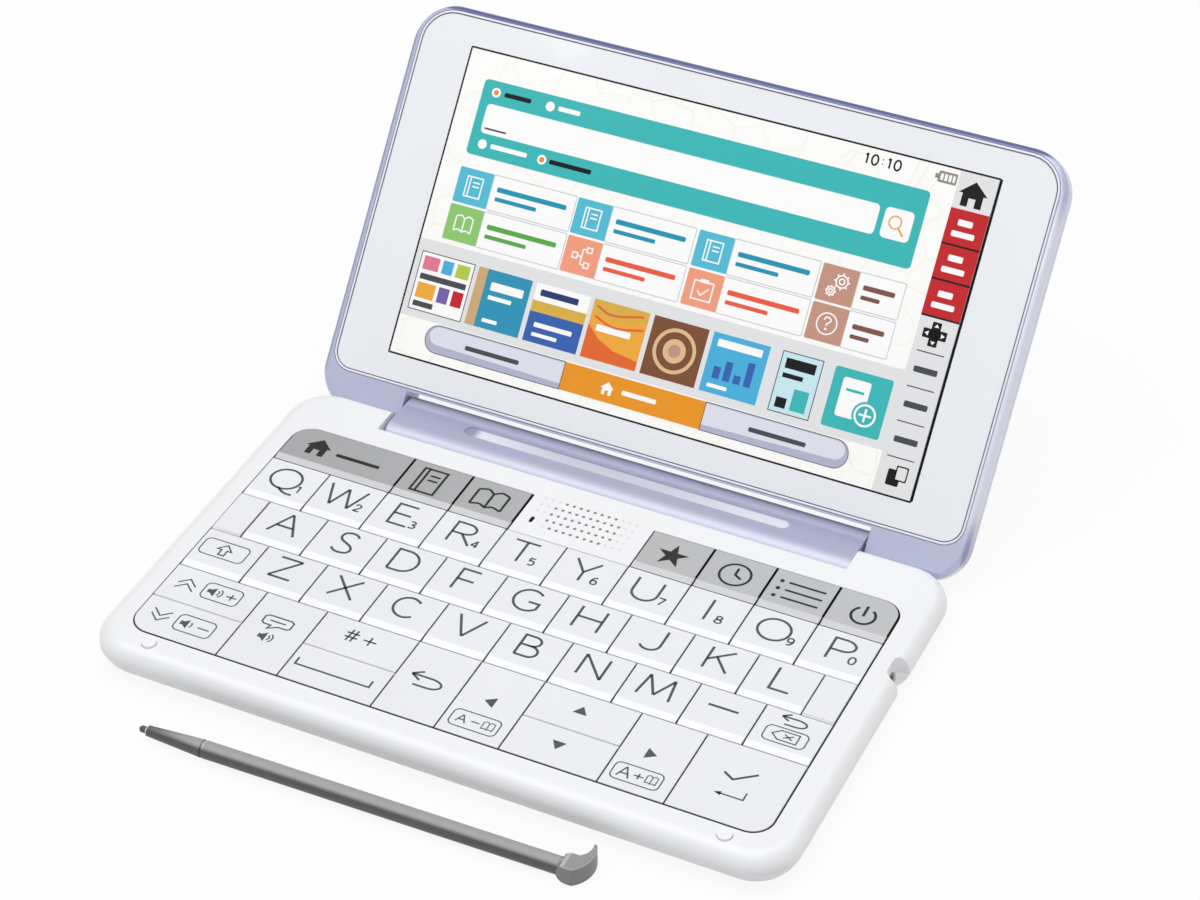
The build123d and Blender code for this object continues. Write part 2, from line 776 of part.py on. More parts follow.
def save_lid(piece, name):
    """Swing a finished lid piece open about the lid axis and write its file."""
    save(piece.moved(lid_plane.location), name)


def lid_panel(height, half, low, high, top_corner, foot_corner):
    """A plate outline on the flat lid with its own top and foot corners."""
    with BuildSketch(Plane.XY.offset(height)) as outline:
        with Locations((0, (low + high) / 2)):
            Rectangle(2 * half, high - low)
        fillet(outline.vertices().group_by(Axis.Y)[-1], top_corner)
        fillet(outline.vertices().group_by(Axis.Y)[0], foot_corner)
    return outline.sketch


def lid_outline(height):
    """Rounded outline of the whole lid, ears included."""
    return lid_panel(height, lid_width / 2, -lid_foot, lid_reach, lid_top_corner, lid_foot_corner)


def glass_outline(height, inset):
    """Outline of the front glass, drawn inwards by inset."""
    return lid_panel(
        height,
        glass_half - inset,
        glass_low + inset,
        glass_high - inset,
        glass_top_corner - inset,
        glass_foot_corner - inset,
    )


def lid_notch(height):
    """The opening between the lid ears, where the spine turns."""
    with BuildSketch(Plane.XY.offset(height)) as outline:
        with Locations((0, lid_notch_height)):
            Rectangle(slot_width, lid_notch_height + 2 * lid_foot, align=(Align.CENTER, Align.MAX))
    return outline.sketch


def lid_side():
    """Side view of the lid. Its foot is rounded about the hinge axis, to turn clear of the case."""
    with BuildSketch(Plane.YZ) as outline:
        Rectangle(lid_reach, 2 * lid_thickness, align=(Align.MIN, Align.CENTER))
        Circle(lid_foot_round)
    return outline.sketch


cavity_low = lid_notch_height + lid_side_wall
cavity_high = lid_reach - lid_side_wall
with BuildPart() as lid_cover:
    extrude(lid_outline(-lid_half), amount=frame_back + lid_half)
    fillet(lid_cover.edges().group_by(Axis.Z)[0], lid_back_round)
    extrude(lid_side(), amount=lid_width, both=True, mode=Mode.INTERSECT)
    extrude(lid_notch(-lid_half), amount=lid_thickness, mode=Mode.SUBTRACT)
    hollow = lid_panel(
        lid_back_wall - lid_half,
        lid_width / 2 - lid_side_wall,
        cavity_low,
        cavity_high,
        lid_top_corner - lid_side_wall,
        inside_corner,
    )
    extrude(hollow, amount=frame_back + lid_half - lid_back_wall, mode=Mode.SUBTRACT)
    with BuildSketch(Plane.YZ) as lid_bore:
        Circle(pin_radius + pin_clearance)
    extrude(amount=ear_inside + pin_reach + pin_end_gap, both=True, mode=Mode.SUBTRACT)
save_lid(lid_cover.part, "lid_cover")

with BuildPart() as lid_frame:
    extrude(lid_outline(frame_back), amount=lid_frame_thickness)
    fillet(lid_frame.edges().group_by(Axis.Z)[-1], lid_front_round)
    extrude(lid_side(), amount=lid_width, both=True, mode=Mode.INTERSECT)
    extrude(lid_notch(-lid_half), amount=lid_thickness, mode=Mode.SUBTRACT)
    extrude(glass_outline(glass_back, -glass_clearance), amount=glass_thickness * 2, mode=Mode.SUBTRACT)
    extrude(glass_outline(frame_back, glass_ledge), amount=lid_frame_thickness, mode=Mode.SUBTRACT)
save_lid(lid_frame.part, "lid_frame")

with BuildPart() as display_glass:
    extrude(glass_outline(glass_back, 0), amount=glass_thickness)
save_lid(display_glass.part, "display_glass")

panel_middle = (glass_low + glass_high) / 2
with BuildPart() as display_module:
    with BuildSketch(Plane.XY.offset(glass_back)) as panel_sketch:
        with Locations((0, panel_middle)):
            Rectangle(panel_width, panel_height)
    extrude(amount=-panel_thickness)
save_lid(display_module.part, "display_module")


# ---- Stylus, drawn along X with its tip at the origin, then laid on the table

shaft_end = stylus_length - head_length
head_side = stylus_radius + head_drop
with BuildPart() as head:
    with BuildSketch(Plane.XY.offset(-head_thickness / 2)) as head_sketch:
        with BuildLine():
            heel = (shaft_end, -head_side)
            shoulder = (shaft_end, head_side)
            crown = (stylus_length - head_lobe, head_side)
            fin_back = (stylus_length - fin_tip, stylus_radius + fin_rise)
            fin = (stylus_length, stylus_radius + fin_rise)
            toe = (stylus_length - head_toe, -head_side)
            Line(heel, shoulder)
            Line(shoulder, crown)
            RadiusArc(crown, fin_back, -fin_back_round)
            Line(fin_back, fin)
            RadiusArc(fin, toe, fin_round)
            Line(toe, heel)
        make_face()
    extrude(amount=head_thickness)
    fillet(head.edges().filter_by(Axis.Y).group_by(Axis.X)[0], head_round)

groove_start = nib_length + cone_length
with BuildPart() as stylus:
    with BuildSketch(Plane.XZ) as stylus_profile:
        with BuildLine():
            nib_end = (nib_length, nib_radius)
            Line((0, 0), (0, nib_radius - nib_bevel))
            Line((0, nib_radius - nib_bevel), (nib_bevel, nib_radius))
            Line((nib_bevel, nib_radius), nib_end)
            Line(nib_end, (nib_length, cone_tip_radius))
            Line((nib_length, cone_tip_radius), (groove_start, stylus_radius))
            Line((groove_start, stylus_radius), (groove_start, stylus_radius - stylus_ring_groove))
            ring_end = groove_start + stylus_ring_width
            Line(
                (groove_start, stylus_radius - stylus_ring_groove),
                (ring_end, stylus_radius - stylus_ring_groove),
            )
            Line((ring_end, stylus_radius - stylus_ring_groove), (ring_end, stylus_radius))
            Line((ring_end, stylus_radius), (shaft_end + 1, stylus_radius))
            Line((shaft_end + 1, stylus_radius), (shaft_end + 1, 0))
            Line((shaft_end + 1, 0), (0, 0))
        make_face()
    revolve(axis=Axis.X)
    add(head.part)
save(
    stylus.part.moved(Location((stylus_x, stylus_y, head_thickness / 2), (0, 0, stylus_turn))),
    "stylus",
)
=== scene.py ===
"""Looks of a pocket electronic dictionary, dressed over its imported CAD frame."""

import logging
import math
from collections.abc import Iterable
from dataclasses import dataclass, field
from enum import Enum

import bpy
import numpy as np
from mathutils import Matrix, Vector


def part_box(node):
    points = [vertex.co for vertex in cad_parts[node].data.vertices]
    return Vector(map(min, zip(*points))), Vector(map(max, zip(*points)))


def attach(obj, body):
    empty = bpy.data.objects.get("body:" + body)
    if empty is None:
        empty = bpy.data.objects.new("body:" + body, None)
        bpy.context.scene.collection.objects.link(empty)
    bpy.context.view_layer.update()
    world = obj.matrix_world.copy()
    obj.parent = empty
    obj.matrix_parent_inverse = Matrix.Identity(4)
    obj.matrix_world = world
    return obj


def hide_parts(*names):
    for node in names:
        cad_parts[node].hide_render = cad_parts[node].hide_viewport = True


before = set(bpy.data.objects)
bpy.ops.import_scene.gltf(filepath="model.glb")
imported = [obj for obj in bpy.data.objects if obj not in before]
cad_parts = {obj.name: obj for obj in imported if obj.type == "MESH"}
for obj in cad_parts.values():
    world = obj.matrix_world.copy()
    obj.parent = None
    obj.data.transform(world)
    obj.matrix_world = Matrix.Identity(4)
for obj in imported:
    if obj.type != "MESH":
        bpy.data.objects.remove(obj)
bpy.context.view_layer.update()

log = logging.getLogger("dictionary")
MM = 0.001
X, Y, Z = (1.0, 0.0, 0.0), (0.0, 1.0, 0.0), (0.0, 0.0, 1.0)
TILT = math.radians(50.9)
HINGE = (0.0, 51.7, 5.3)
LID_UP = (0.0, math.cos(TILT), math.sin(TILT))
LID_OUT = (0.0, -math.sin(TILT), math.cos(TILT))
BLACK = (0.0, 0.0, 0.0, 1.0)
WHITE = (1.0, 1.0, 1.0, 1.0)

Color = tuple[int, int, int]
Point = tuple[float, float, float]
Span = tuple[float, float]

# ---------------------------------------------------------------- shader values


class Wire:
    """A shader value that takes part in Python arithmetic through Math nodes."""

    def __init__(self, shader: "Shader", socket: bpy.types.NodeSocket) -> None:
        """Wraps one output socket of the shader."""
        self.shader = shader
        self.socket = socket

    def math(self, operation: str, *values: "Wire | float") -> "Wire":
        """Adds a Math node that works on the values in their order."""
        return self.shader.node("ShaderNodeMath", {"operation": operation}, dict(enumerate(values)))

    def __add__(self, other: "Wire | float") -> "Wire":
        """Sum of two values."""
        return self.math("ADD", self, other)

    __radd__ = __add__

    def __mul__(self, other: "Wire | float") -> "Wire":
        """Product of two values."""
        return self.math("MULTIPLY", self, other)

    __rmul__ = __mul__

    def __sub__(self, other: "Wire | float") -> "Wire":
        """Difference of two values."""
        return self.math("SUBTRACT", self, other)

    def __rsub__(self, other: float) -> "Wire":
        """A number less this value."""
        return self.math("SUBTRACT", other, self)

    def __abs__(self) -> "Wire":
        """Distance of this value from 0."""
        return self.math("ABSOLUTE", self)

    def step(self, low: float, high: float) -> "Wire":
        """Rises smoothly from 0 at low to 1 at high."""
        settings = {"interpolation_type": "SMOOTHSTEP"}
        return self.shader.node("ShaderNodeMapRange", settings, {0: self, 1: low, 2: high, 3: 0.0, 4: 1.0})

    def fall(self, low: float, high: float) -> "Wire":
        """Falls smoothly from 1 at low to 0 at high."""
        return 1 - self.step(low, high)

    def within(self, low: float, high: float, soft: float) -> "Wire":
        """1 between low and high and 0 beyond them, with a soft edge inside each."""
        return self.step(low, low + soft) * self.fall(high - soft, high)

    def at_least(self, low: float) -> "Wire":
        """This value, or low where it is less."""
        return self.math("MAXIMUM", self, low)

    def root(self) -> "Wire":
        """Square root of this value."""
        return self.math("SQRT", self)


Tone = Wire | tuple[float, ...]


class Shader:
    """Makes the nodes of one material."""

    def __init__(self, name: str) -> None:
        """Starts an empty material of that name.

        Args:
            name: Name of the material.
        """
        self.material = bpy.data.materials.new(name)
        self.material.use_nodes = True
        self.tree = self.material.node_tree
        self.tree.nodes.clear()

    def node(self, kind: str, settings: dict, inputs: dict, output: int | str = 0) -> Wire:
        """Adds any node.

        Args:
            kind: Blender's name of the node type.
            settings: Properties that are set before the sockets.
            inputs: Numbers, colours or wires by socket name or index.
            output: The output that the returned wire stands for.

        Returns:
            The chosen output as a wire.
        """
        made = self.tree.nodes.new(kind)
        for key, value in settings.items():
            setattr(made, key, value)
        for key, value in inputs.items():
            socket = made.inputs[key]
            if isinstance(value, Wire):
                self.tree.links.new(value.socket, socket)
            else:
                socket.default_value = value
        return Wire(self, made.outputs[output])

    def place(self, scale: Point = (1.0, 1.0, 1.0)) -> Wire:
        """Object coordinates, stretched by scale."""
        here = self.node("ShaderNodeTexCoord", {}, {}, "Object")
        return self.node("ShaderNodeMapping", {}, {"Vector": here, "Scale": scale})

    def along(self, direction: Point, start: float = 0.0) -> Wire:
        """Millimetres from start along a direction, at the point that is shaded.

        Args:
            direction: A direction of length 1.
            start: Where the count begins, in millimetres.

        Returns:
            The distance.
        """
        here = self.node("ShaderNodeTexCoord", {}, {}, "Object")
        length = self.node("ShaderNodeVectorMath", {"operation": "DOT_PRODUCT"}, {0: here, 1: direction}, "Value")
        return length * (1 / MM) - start

    def noise(self, scale: float, detail: float = 2.0, where: Wire | None = None) -> Wire:
        """Noise from 0 to 1 that repeats about scale times in a metre."""
        inputs = {"Vector": where or self.place(), "Scale": scale, "Detail": detail}
        return self.node("ShaderNodeTexNoise", {}, inputs)

    def blend(self, factor: Wire | float, first: Tone, second: Tone) -> Wire:
        """Mixes two colours."""
        return self.node("ShaderNodeMix", {"data_type": "RGBA"}, {"Factor": factor, 6: first, 7: second}, 2)

    def mottled(self, color: Color, amount: float, pattern: Wire) -> Wire:
        """A colour that the pattern makes darker and lighter by an amount."""
        return self.blend(pattern, shade(color, 1 - amount), shade(color, 1 + amount))

    def layered(self, color: Tone, *coats: tuple[Wire, Color]) -> Tone:
        """A colour with other colours over it, each as thick as its mask.

        Args:
            color: The colour below.
            coats: Masks from 0 to 1, each with the colour that it lays over.

        Returns:
            The colour on top.
        """
        for mask, over in coats:
            color = self.blend(mask, color, shade(over))
        return color

    def bump(self, height: Wire, distance: float, strength: float = 1.0) -> Wire:
        """Turns a height from 0 to 1 into a normal, over that distance in metres."""
        return self.node("ShaderNodeBump", {}, {"Height": height, "Distance": distance, "Strength": strength})

    def ended(self, last: Wire) -> bpy.types.Material:
        """The material, with that shader as its surface.

        Args:
            last: The shader that makes the surface.

        Returns:
            The finished material.
        """
        out = self.tree.nodes.new("ShaderNodeOutputMaterial")
        self.tree.links.new(last.socket, out.inputs["Surface"])
        return self.material

    def surface(self, inputs: dict) -> bpy.types.Material:
        """Ends the material in a Principled surface with those inputs."""
        return self.ended(self.node("ShaderNodeBsdfPrincipled", {}, inputs))


def shade(color: Color, factor: float = 1.0) -> tuple[float, ...]:
    """An 8-bit display colour in linear light.

    Args:
        color: Red, green and blue from 0 to 255.
        factor: Makes it lighter above 1 and darker below.

    Returns:
        Linear red, green, blue and an alpha of 1.
    """
    part = np.array(color) / 255.0
    light = np.where(part <= 0.04045, part / 12.92, ((part + 0.055) / 1.055) ** 2.4)
    return (*np.minimum(light * factor, 1.0).tolist(), 1.0)


# ---------------------------------------------------------------- finishes

# Painted shade: the grey of cap sides and window walls that stand in the dark of narrow gaps.
GAP_SHADE_GREY = (84, 89, 96)
COAT_ROUGHNESS = 0.12
CASE_GRAIN = 0.000004


@dataclass(frozen=True)
class Finish:
    """A named finish. Each kind says what goes into its Principled surface."""

    name: str

    def inputs(self, shader: Shader) -> dict:
        """What goes into the Principled surface, by socket name."""
        raise NotImplementedError

    def material(self) -> bpy.types.Material:
        """Makes the material of this finish."""
        shader = Shader(self.name)
        return shader.surface(self.inputs(shader))


@dataclass(frozen=True)
class Moulding(Finish):
    """Moulded plastic or rubber: an even colour with faint flow clouds and a fine spark-eroded grain."""

    color: Color
    roughness: float = 0.4
    clouds: float = 0.02
    coat: float = 0.0

    def inputs(self, shader: Shader) -> dict:
        """The clouds move the colour and the roughness, and the grain is raised a little.

        Args:
            shader: The material's nodes.

        Returns:
            Numbers, colours and wires by socket name.
        """
        cloud, grain = shader.noise(60.0, 3.0), shader.noise(9000.0)
        return {
            "Base Color": shader.mottled(self.color, self.clouds, cloud),
            "Roughness": self.roughness - 0.04 + cloud * 0.05 + grain * 0.03,
            "Coat Weight": self.coat,
            "Coat Roughness": COAT_ROUGHNESS,
            "Normal": shader.bump(grain, CASE_GRAIN),
        }


@dataclass(frozen=True)
class KeyPlastic(Finish):
    """Key cap plastic: a satin top, a lighter sloping lip, and sides painted dark as the shade of their gaps.

    The heights face and sides are where the lip gives way to the top and the sides to the lip. Edges behind
    gap_shade_from are painted black as gap shade. On the lines pale_shade_rows, where caps meet, that painted
    shade of the sides is paler. The top grows lighter to the right by brighter, as painted light.
    """

    top: Color
    lip: Color
    # Painted shade of the gaps, on the cap's sides.
    side: Color = GAP_SHADE_GREY
    metallic: float = 0.0
    roughness: float = 0.4
    # Painted light: how much lighter the top grows at the right end of width.
    brighter: float = 1.0
    # Painted shade: behind gap_shade_from the lip and edges are black; on the lines pale_shade_rows the sides'
    # gap shade is the paler faint.
    gap_shade_from: float = 1000.0
    black: Color = (26, 28, 30)
    faint: Color = (198, 201, 208)
    pale_shade_rows: tuple[float, ...] = (-29.25, -18.8, -6.2, 6.4)
    pale_shade_reach: Span = (0.3, 0.36)
    width: Span = (-70.0, 70.0)
    face: Span = (9.87, 9.896)
    sides: Span = (9.6, 9.64)
    grain_depth: float = 0.000003

    def inputs(self, shader: Shader) -> dict:
        """Mixes top, lip and side by height. The top brightens to the right as painted light; side and rim are
        painted shade.

        Args:
            shader: The material's nodes.

        Returns:
            Numbers, colours and wires by socket name.
        """
        height, back = shader.along(Z), shader.along(Y)
        grain, cloud = shader.noise(11000.0), shader.noise(30.0)
        top = shader.mottled(self.top, 0.02, cloud.step(0.3, 0.7))
        # Painted light: the top grows lighter to the right.
        top = shader.blend(shader.along(X).step(*self.width), top, shade(self.top, self.brighter))
        below = height.fall(*self.face)
        # Painted shade: black lip and edges behind gap_shade_from, and the sides' gap shade, paler on the lines
        # pale_shade_rows.
        rim = below * back.step(self.gap_shade_from, self.gap_shade_from + 0.1)
        faint = sum((abs(back - row).fall(*self.pale_shade_reach) for row in self.pale_shade_rows), back * 0)
        color = shader.layered(top, (below, self.lip), (rim, self.black))
        side = shader.layered(shade(self.side), (faint, self.faint))
        return {
            "Base Color": shader.blend(height.fall(*self.sides), color, side),
            "Roughness": self.roughness + grain * 0.03,
            "Metallic": self.metallic,
            "Normal": shader.bump(grain, self.grain_depth),
        }


@dataclass(frozen=True)
class DeckPlastic(Finish):
    """White case plastic with painted shade: greyer towards its foot, most of all in front, and dark on the walls
    of its window. The walls take the colour side, which on the case is a pale painted light.
    """

    color: Color
    side: Color = GAP_SHADE_GREY
    window: tuple[float, float, float, float] = (-70.3, 70.3, -40.3, 32.5)
    side_top: float = 9.5
    # Painted shade: foot darkens the plastic below foot_shade_heights, most of all in front of front, by
    # front_shade_share less behind it.
    foot: Color = (222, 223, 226)
    foot_shade_heights: Span = (5.0, 8.6)
    front: Span = (-44.0, -38.0)
    front_shade_share: float = 0.7
    soft: float = 0.02

    def inputs(self, shader: Shader) -> dict:
        """Mixes plain plastic, the painted shade of its foot and the painted colour of its window walls by place.

        Args:
            shader: The material's nodes.

        Returns:
            Numbers, colours and wires by socket name.
        """
        left, right, front, back = self.window
        across, depth, height = shader.along(X), shader.along(Y), shader.along(Z)
        # Window walls take side: painted shade on the deck, painted light in the case's notch.
        inside = across.within(left, right, self.soft) * depth.within(front, back, self.soft)
        inside = inside * height.fall(self.side_top - 0.05, self.side_top)
        cloud, grain = shader.noise(60.0, 3.0), shader.noise(9000.0)
        # Painted shade: greyer towards the foot, most of all in front.
        grey = height.fall(*self.foot_shade_heights) * (1 - depth.step(*self.front) * self.front_shade_share)
        plain = shader.layered(shade(self.color), (grey, self.foot))
        plain = shader.blend(cloud * 0.2, plain, shade(self.color, 0.97))
        return {
            "Base Color": shader.layered(plain, (inside, self.side)),
            "Roughness": 0.33 + cloud * 0.04 + grain * 0.03,
            "Coat Weight": 0.25,
            "Coat Roughness": COAT_ROUGHNESS,
            "Normal": shader.bump(grain, CASE_GRAIN),
        }


@dataclass(frozen=True)
class PearlPaint(Finish):
    """Pearl lacquer: fine mica flakes under a clear coat. Each kind paints reflection, shade or highlight into it
    by place.
    """

    color: Color
    roughness: float = 0.34
    coat: float = 0.6
    # deep is painted shade and dark reflection, pale a painted highlight.
    deep: Color = (98, 103, 156)
    pale: Color = (232, 234, 248)

    def tint(self, shader: Shader, color: Wire) -> Wire:
        """Paints reflection, shade or highlight into the colour of the lacquer by place."""
        raise NotImplementedError

    def inputs(self, shader: Shader) -> dict:
        """Each flake is a cell with its own tone, under a coat that waves slightly.

        Args:
            shader: The material's nodes.

        Returns:
            Numbers, colours and wires by socket name.
        """
        place = {"Vector": shader.place(), "Scale": 7000.0}
        flake = shader.node("ShaderNodeTexVoronoi", {"feature": "F1"}, place, "Color")
        tone = shader.node("ShaderNodeSeparateColor", {}, {0: flake})
        return {
            "Base Color": self.tint(shader, shader.mottled(self.color, 0.04, tone)),
            "Metallic": 0.2,
            "Roughness": self.roughness + tone * 0.06,
            "Coat Weight": self.coat,
            "Coat Roughness": 0.08,
            "Normal": shader.bump(shader.noise(400.0, 1.0), 0.00001, 0.3),
        }


@dataclass(frozen=True)
class LidPearl(PearlPaint):
    """Pearl lacquer of the lid with painted reflection: deep on its top and left rims and right foot, a dark
    reflection and shade, and pale on its right rim, a highlight.

    Each band is a span in millimetres across the lid, up it from its hinge, or out of its middle plane.
    """

    # Spans of painted reflection: right for the highlight on the right rim; top, left and foot for the dark
    # reflection.
    front: Span = (0.6, 2.2)
    right: Span = (73.1, 74.6)
    right_edge: Span = (75.0, 75.7)
    right_low: Span = (5.0, 12.0)
    right_high: Span = (71.9, 79.9)
    top: Span = (86.4, 87.2)
    top_end: Span = (71.0, 75.2)
    left: Span = (74.3, 75.2)
    foot: Span = (74.2, 75.1)
    foot_high: Span = (1.0, 15.0)

    def tint(self, shader: Shader, color: Wire) -> Wire:
        """Paints dark reflection into the top and left rims and right foot, and a highlight into the right rim,
        by the distance across the lid and up it.

        Args:
            shader: The material's nodes.
            color: The even colour with its flakes.

        Returns:
            The changed colour.
        """
        across = shader.along(X)
        upward = shader.along(LID_UP, float(np.dot(HINGE, LID_UP)))
        front = shader.along(LID_OUT, float(np.dot(HINGE, LID_OUT))).step(*self.front)
        # Painted highlight on the right rim.
        right = across.step(*self.right) * (1 - across.step(*self.right_edge) * 0.5)
        right = right * upward.step(*self.right_low) * upward.fall(*self.right_high)
        # Painted dark reflection on the top and left rims and on the right foot.
        top = upward.step(*self.top) * across.fall(*self.top_end)
        left = (across * -1).step(*self.left)
        foot = across.step(*self.foot) * upward.fall(*self.foot_high)
        sides = left * front * 0.8 + foot * 0.7
        return shader.layered(color, (right * front, self.pale), (top * front, self.deep), (sides, self.deep))


@dataclass(frozen=True)
class SpinePearl(PearlPaint):
    """Pearl lacquer of the spine: painted highlight on its edges and in its long groove, and a painted shadow at
    the groove's left end.

    The groove is a pill about the line at middle, as long as twice half, plus its round ends.
    """

    half: float = 36.4
    middle: float = 47.0
    groove: Span = (1.1, 1.8)
    groove_height: Span = (7.5, 7.8)
    # Painted highlight in the groove, fading by fade_left and fade_right.
    groove_highlight: Color = (243, 244, 252)
    fade_left: Span = (-12.0, -38.0)
    fade_right: Span = (0.0, 38.0)
    # Painted highlight bands on the front edge and behind the groove.
    front: Span = (40.6, 43.4)
    front_height: Span = (5.0, 6.4)
    back: Span = (48.8, 50.2)
    shadow: Span = (-36.2, -33.8)
    shadow_reach: Span = (1.2, 1.9)

    def tint(self, shader: Shader, color: Wire) -> Wire:
        """Paints a highlight into the groove by the distance from its middle line and into the edges by the
        depth, and a shadow at the groove's left end.

        Args:
            shader: The material's nodes.
            color: The even colour with its flakes.

        Returns:
            The changed colour.
        """
        across, depth, height = shader.along(X), shader.along(Y), shader.along(Z)
        past, away = (abs(across) - self.half).at_least(0.0), depth - self.middle
        reach = (past * past + away * away).root()
        low = height.step(*self.groove_height)
        groove = reach.fall(*self.groove) * low
        # Painted highlight in the groove, strongest at its ends, and on the edges; painted shadow at the groove's
        # left end.
        ends = across.step(*self.fade_left) * 0.5 + across.step(*self.fade_right) * 0.4 + 0.5
        edges = depth.fall(*self.front) * height.step(*self.front_height) + depth.step(*self.back)
        shadow = across.fall(*self.shadow) * reach.fall(*self.shadow_reach) * low
        coats = (edges * 0.5, self.pale), (groove * ends, self.groove_highlight), (shadow * 0.7, self.deep)
        return shader.layered(color, *coats)


@dataclass(frozen=True)
class PenPlastic(Finish):
    """Grey pen plastic with painted light and shade: pale above and dark below, with a painted highlight as a
    bright rim on the head and a pale ring at the nib.

    The spans of height count from the pen's middle line, those of x along the pen.
    """

    axis: float = 2.3
    # Painted light and shade: lower, upper, wall_foot, wall_top and cap; painted highlights: ring and edge.
    lower: Color = (76, 79, 75)
    upper: Color = (162, 164, 161)
    lit: Span = (0.925, 1.702)
    wall_foot: Color = (124, 126, 123)
    wall_top: Color = (190, 192, 190)
    wall: Span = (1.75, 1.95)
    cap: Color = (150, 152, 149)
    cap_height: Span = (2.22, 2.28)
    head: Span = (35.1, 35.3)
    ring: Color = (236, 237, 236)
    nib: float = -54.35
    ring_reach: Span = (0.1, 0.28)
    edge: Color = (205, 207, 205)
    neck: float = -41.4
    edge_reach: Span = (0.12, 0.3)
    dust: Color = (140, 143, 139)

    def inputs(self, shader: Shader) -> dict:
        """Painted light and shade by height on shaft and head, then the painted highlights of the ring and the
        neck's edge, and faint streaks over them.

        Args:
            shader: The material's nodes.

        Returns:
            Numbers, colours and wires by socket name.
        """
        height, across = shader.along(Z, self.axis), shader.along(X)
        grain, streak = shader.noise(12000.0), shader.noise(60.0, 3.0)
        # Painted light: lighter above lit on the shaft, and a bright top edge on the head's wall.
        lit = height.step(*self.lit)
        shaft = shader.layered(shade(self.lower), (lit, self.upper))
        wall, cap = height.step(*self.wall), height.step(*self.cap_height)
        head = shader.layered(shade(self.wall_foot), (wall, self.wall_top), (cap, self.cap))
        color = shader.blend(across.step(*self.head), shaft, head)
        # Painted highlights: a ring at the nib and the lit side of the neck's edge.
        ring = abs(across - self.nib).fall(*self.ring_reach)
        edge = abs(across - self.neck).fall(*self.edge_reach) * lit
        coats = (ring, self.ring), (edge * 0.7, self.edge), (streak * 0.1, self.dust)
        return {
            "Base Color": shader.layered(color, *coats),
            "Roughness": 0.42 + grain * 0.05,
            "Normal": shader.bump(grain, 0.000006),
        }


@dataclass(frozen=True)
class Metal(Finish):
    """Ground or stamped metal with a fine brushed grain along one axis."""

    color: Color
    roughness: float = 0.35
    stretch: Point = (60.0, 4000.0, 4000.0)

    def inputs(self, shader: Shader) -> dict:
        """The brushed grain moves colour, roughness and height together.

        Args:
            shader: The material's nodes.

        Returns:
            Numbers, colours and wires by socket name.
        """
        brush = shader.noise(1.0, where=shader.place(self.stretch))
        return {
            "Base Color": shader.mottled(self.color, 0.1, brush),
            "Metallic": 1.0,
            "Roughness": self.roughness + brush * 0.12,
            "Normal": shader.bump(brush, 0.000004),
        }


@dataclass(frozen=True)
class Print(Finish):
    """Printed ink: a flat colour with the slight mottle of pad printing."""

    color: Color

    def inputs(self, shader: Shader) -> dict:
        """The mottle moves colour and roughness."""
        mottle = shader.noise(3000.0)
        return {"Base Color": shader.mottled(self.color, 0.06, mottle), "Roughness": 0.45 + mottle * 0.05}


@dataclass(frozen=True)
class Pixels(Finish):
    """A lit area of the display: half its light is its own, the rest is the room's."""

    color: Color

    def shown(self, shader: Shader) -> tuple[Wire, Wire]:
        """The picture's colour, and the pattern that roughens the glass over it."""
        dots = shader.noise(6000.0, 1.0)
        return shader.mottled(self.color, 0.015, dots), dots

    def inputs(self, shader: Shader) -> dict:
        """Half of the colour is lit by the room and half of it glows.

        Args:
            shader: The material's nodes.

        Returns:
            Numbers, colours and wires by socket name.
        """
        color, pattern = self.shown(shader)
        half = shader.blend(0.5, BLACK, color)
        return {
            "Base Color": half,
            "Emission Color": half,
            "Emission Strength": 1.0,
            "Roughness": 0.12 + pattern * 0.02,
        }


@dataclass(frozen=True)
class Wallpaper(Pixels):
    """The display's white background with faint beige lines in an uneven polygon net."""

    line: Color = (251, 246, 235)

    def shown(self, shader: Shader) -> tuple[Wire, Wire]:
        """Lines where the distance to the edge of a cell is small.

        Args:
            shader: The material's nodes.

        Returns:
            The colour, and the distance to the edge of a cell.
        """
        place = {"Vector": shader.place(), "Scale": 130.0}
        edge = shader.node("ShaderNodeTexVoronoi", {"feature": "DISTANCE_TO_EDGE"}, place, "Distance")
        return shader.blend(edge.step(0.008, 0.022), shade(self.line), shade(self.color)), edge


@dataclass(frozen=True)
class CoverGlass(Finish):
    """Pale printed border under a flat cover glass, with a faint mottle in its ink."""

    color: Color

    def inputs(self, shader: Shader) -> dict:
        """The mottle moves colour and roughness under a clear coat.

        Args:
            shader: The material's nodes.

        Returns:
            Numbers, colours and wires by socket name.
        """
        ink = shader.noise(25.0)
        return {
            "Base Color": shader.mottled(self.color, 0.015, ink),
            "Roughness": 0.1 + ink * 0.03,
            "Coat Weight": 0.6,
            "Coat Roughness": 0.03,
        }


class Stock:
    """Makes each finish once and hands out its material."""

    made: dict[str, bpy.types.Material] = {}

    @classmethod
    def get(cls, finish: Finish) -> bpy.types.Material:
        """The material of a finish.

        Args:
            finish: The finish.

        Returns:
            Its material, the same one each time.
        """
        if finish.name not in cls.made:
            cls.made[finish.name] = finish.material()
        return cls.made[finish.name]


# Deck: painted shade towards its front foot and on the walls of the key window.
DECK_WHITE = DeckPlastic("deck_white", (242, 243, 245))
# Lower case: painted shade, darker towards its foot, and the walls of the stylus notch painted almost white as
# painted light.
CASE_WHITE = DeckPlastic(
    "case_white",
    color=(222, 223, 226),
    side=(252, 252, 252),
    window=(72.3, 76.6, 11.45, 18.15),
    side_top=30.0,
    foot=(176, 178, 182),
    foot_shade_heights=(0.3, 5.2),
)
# White keys: grey painted gap shade on the sides.
KEY_WHITE = KeyPlastic("key_white", (235, 236, 241), (250, 251, 252))
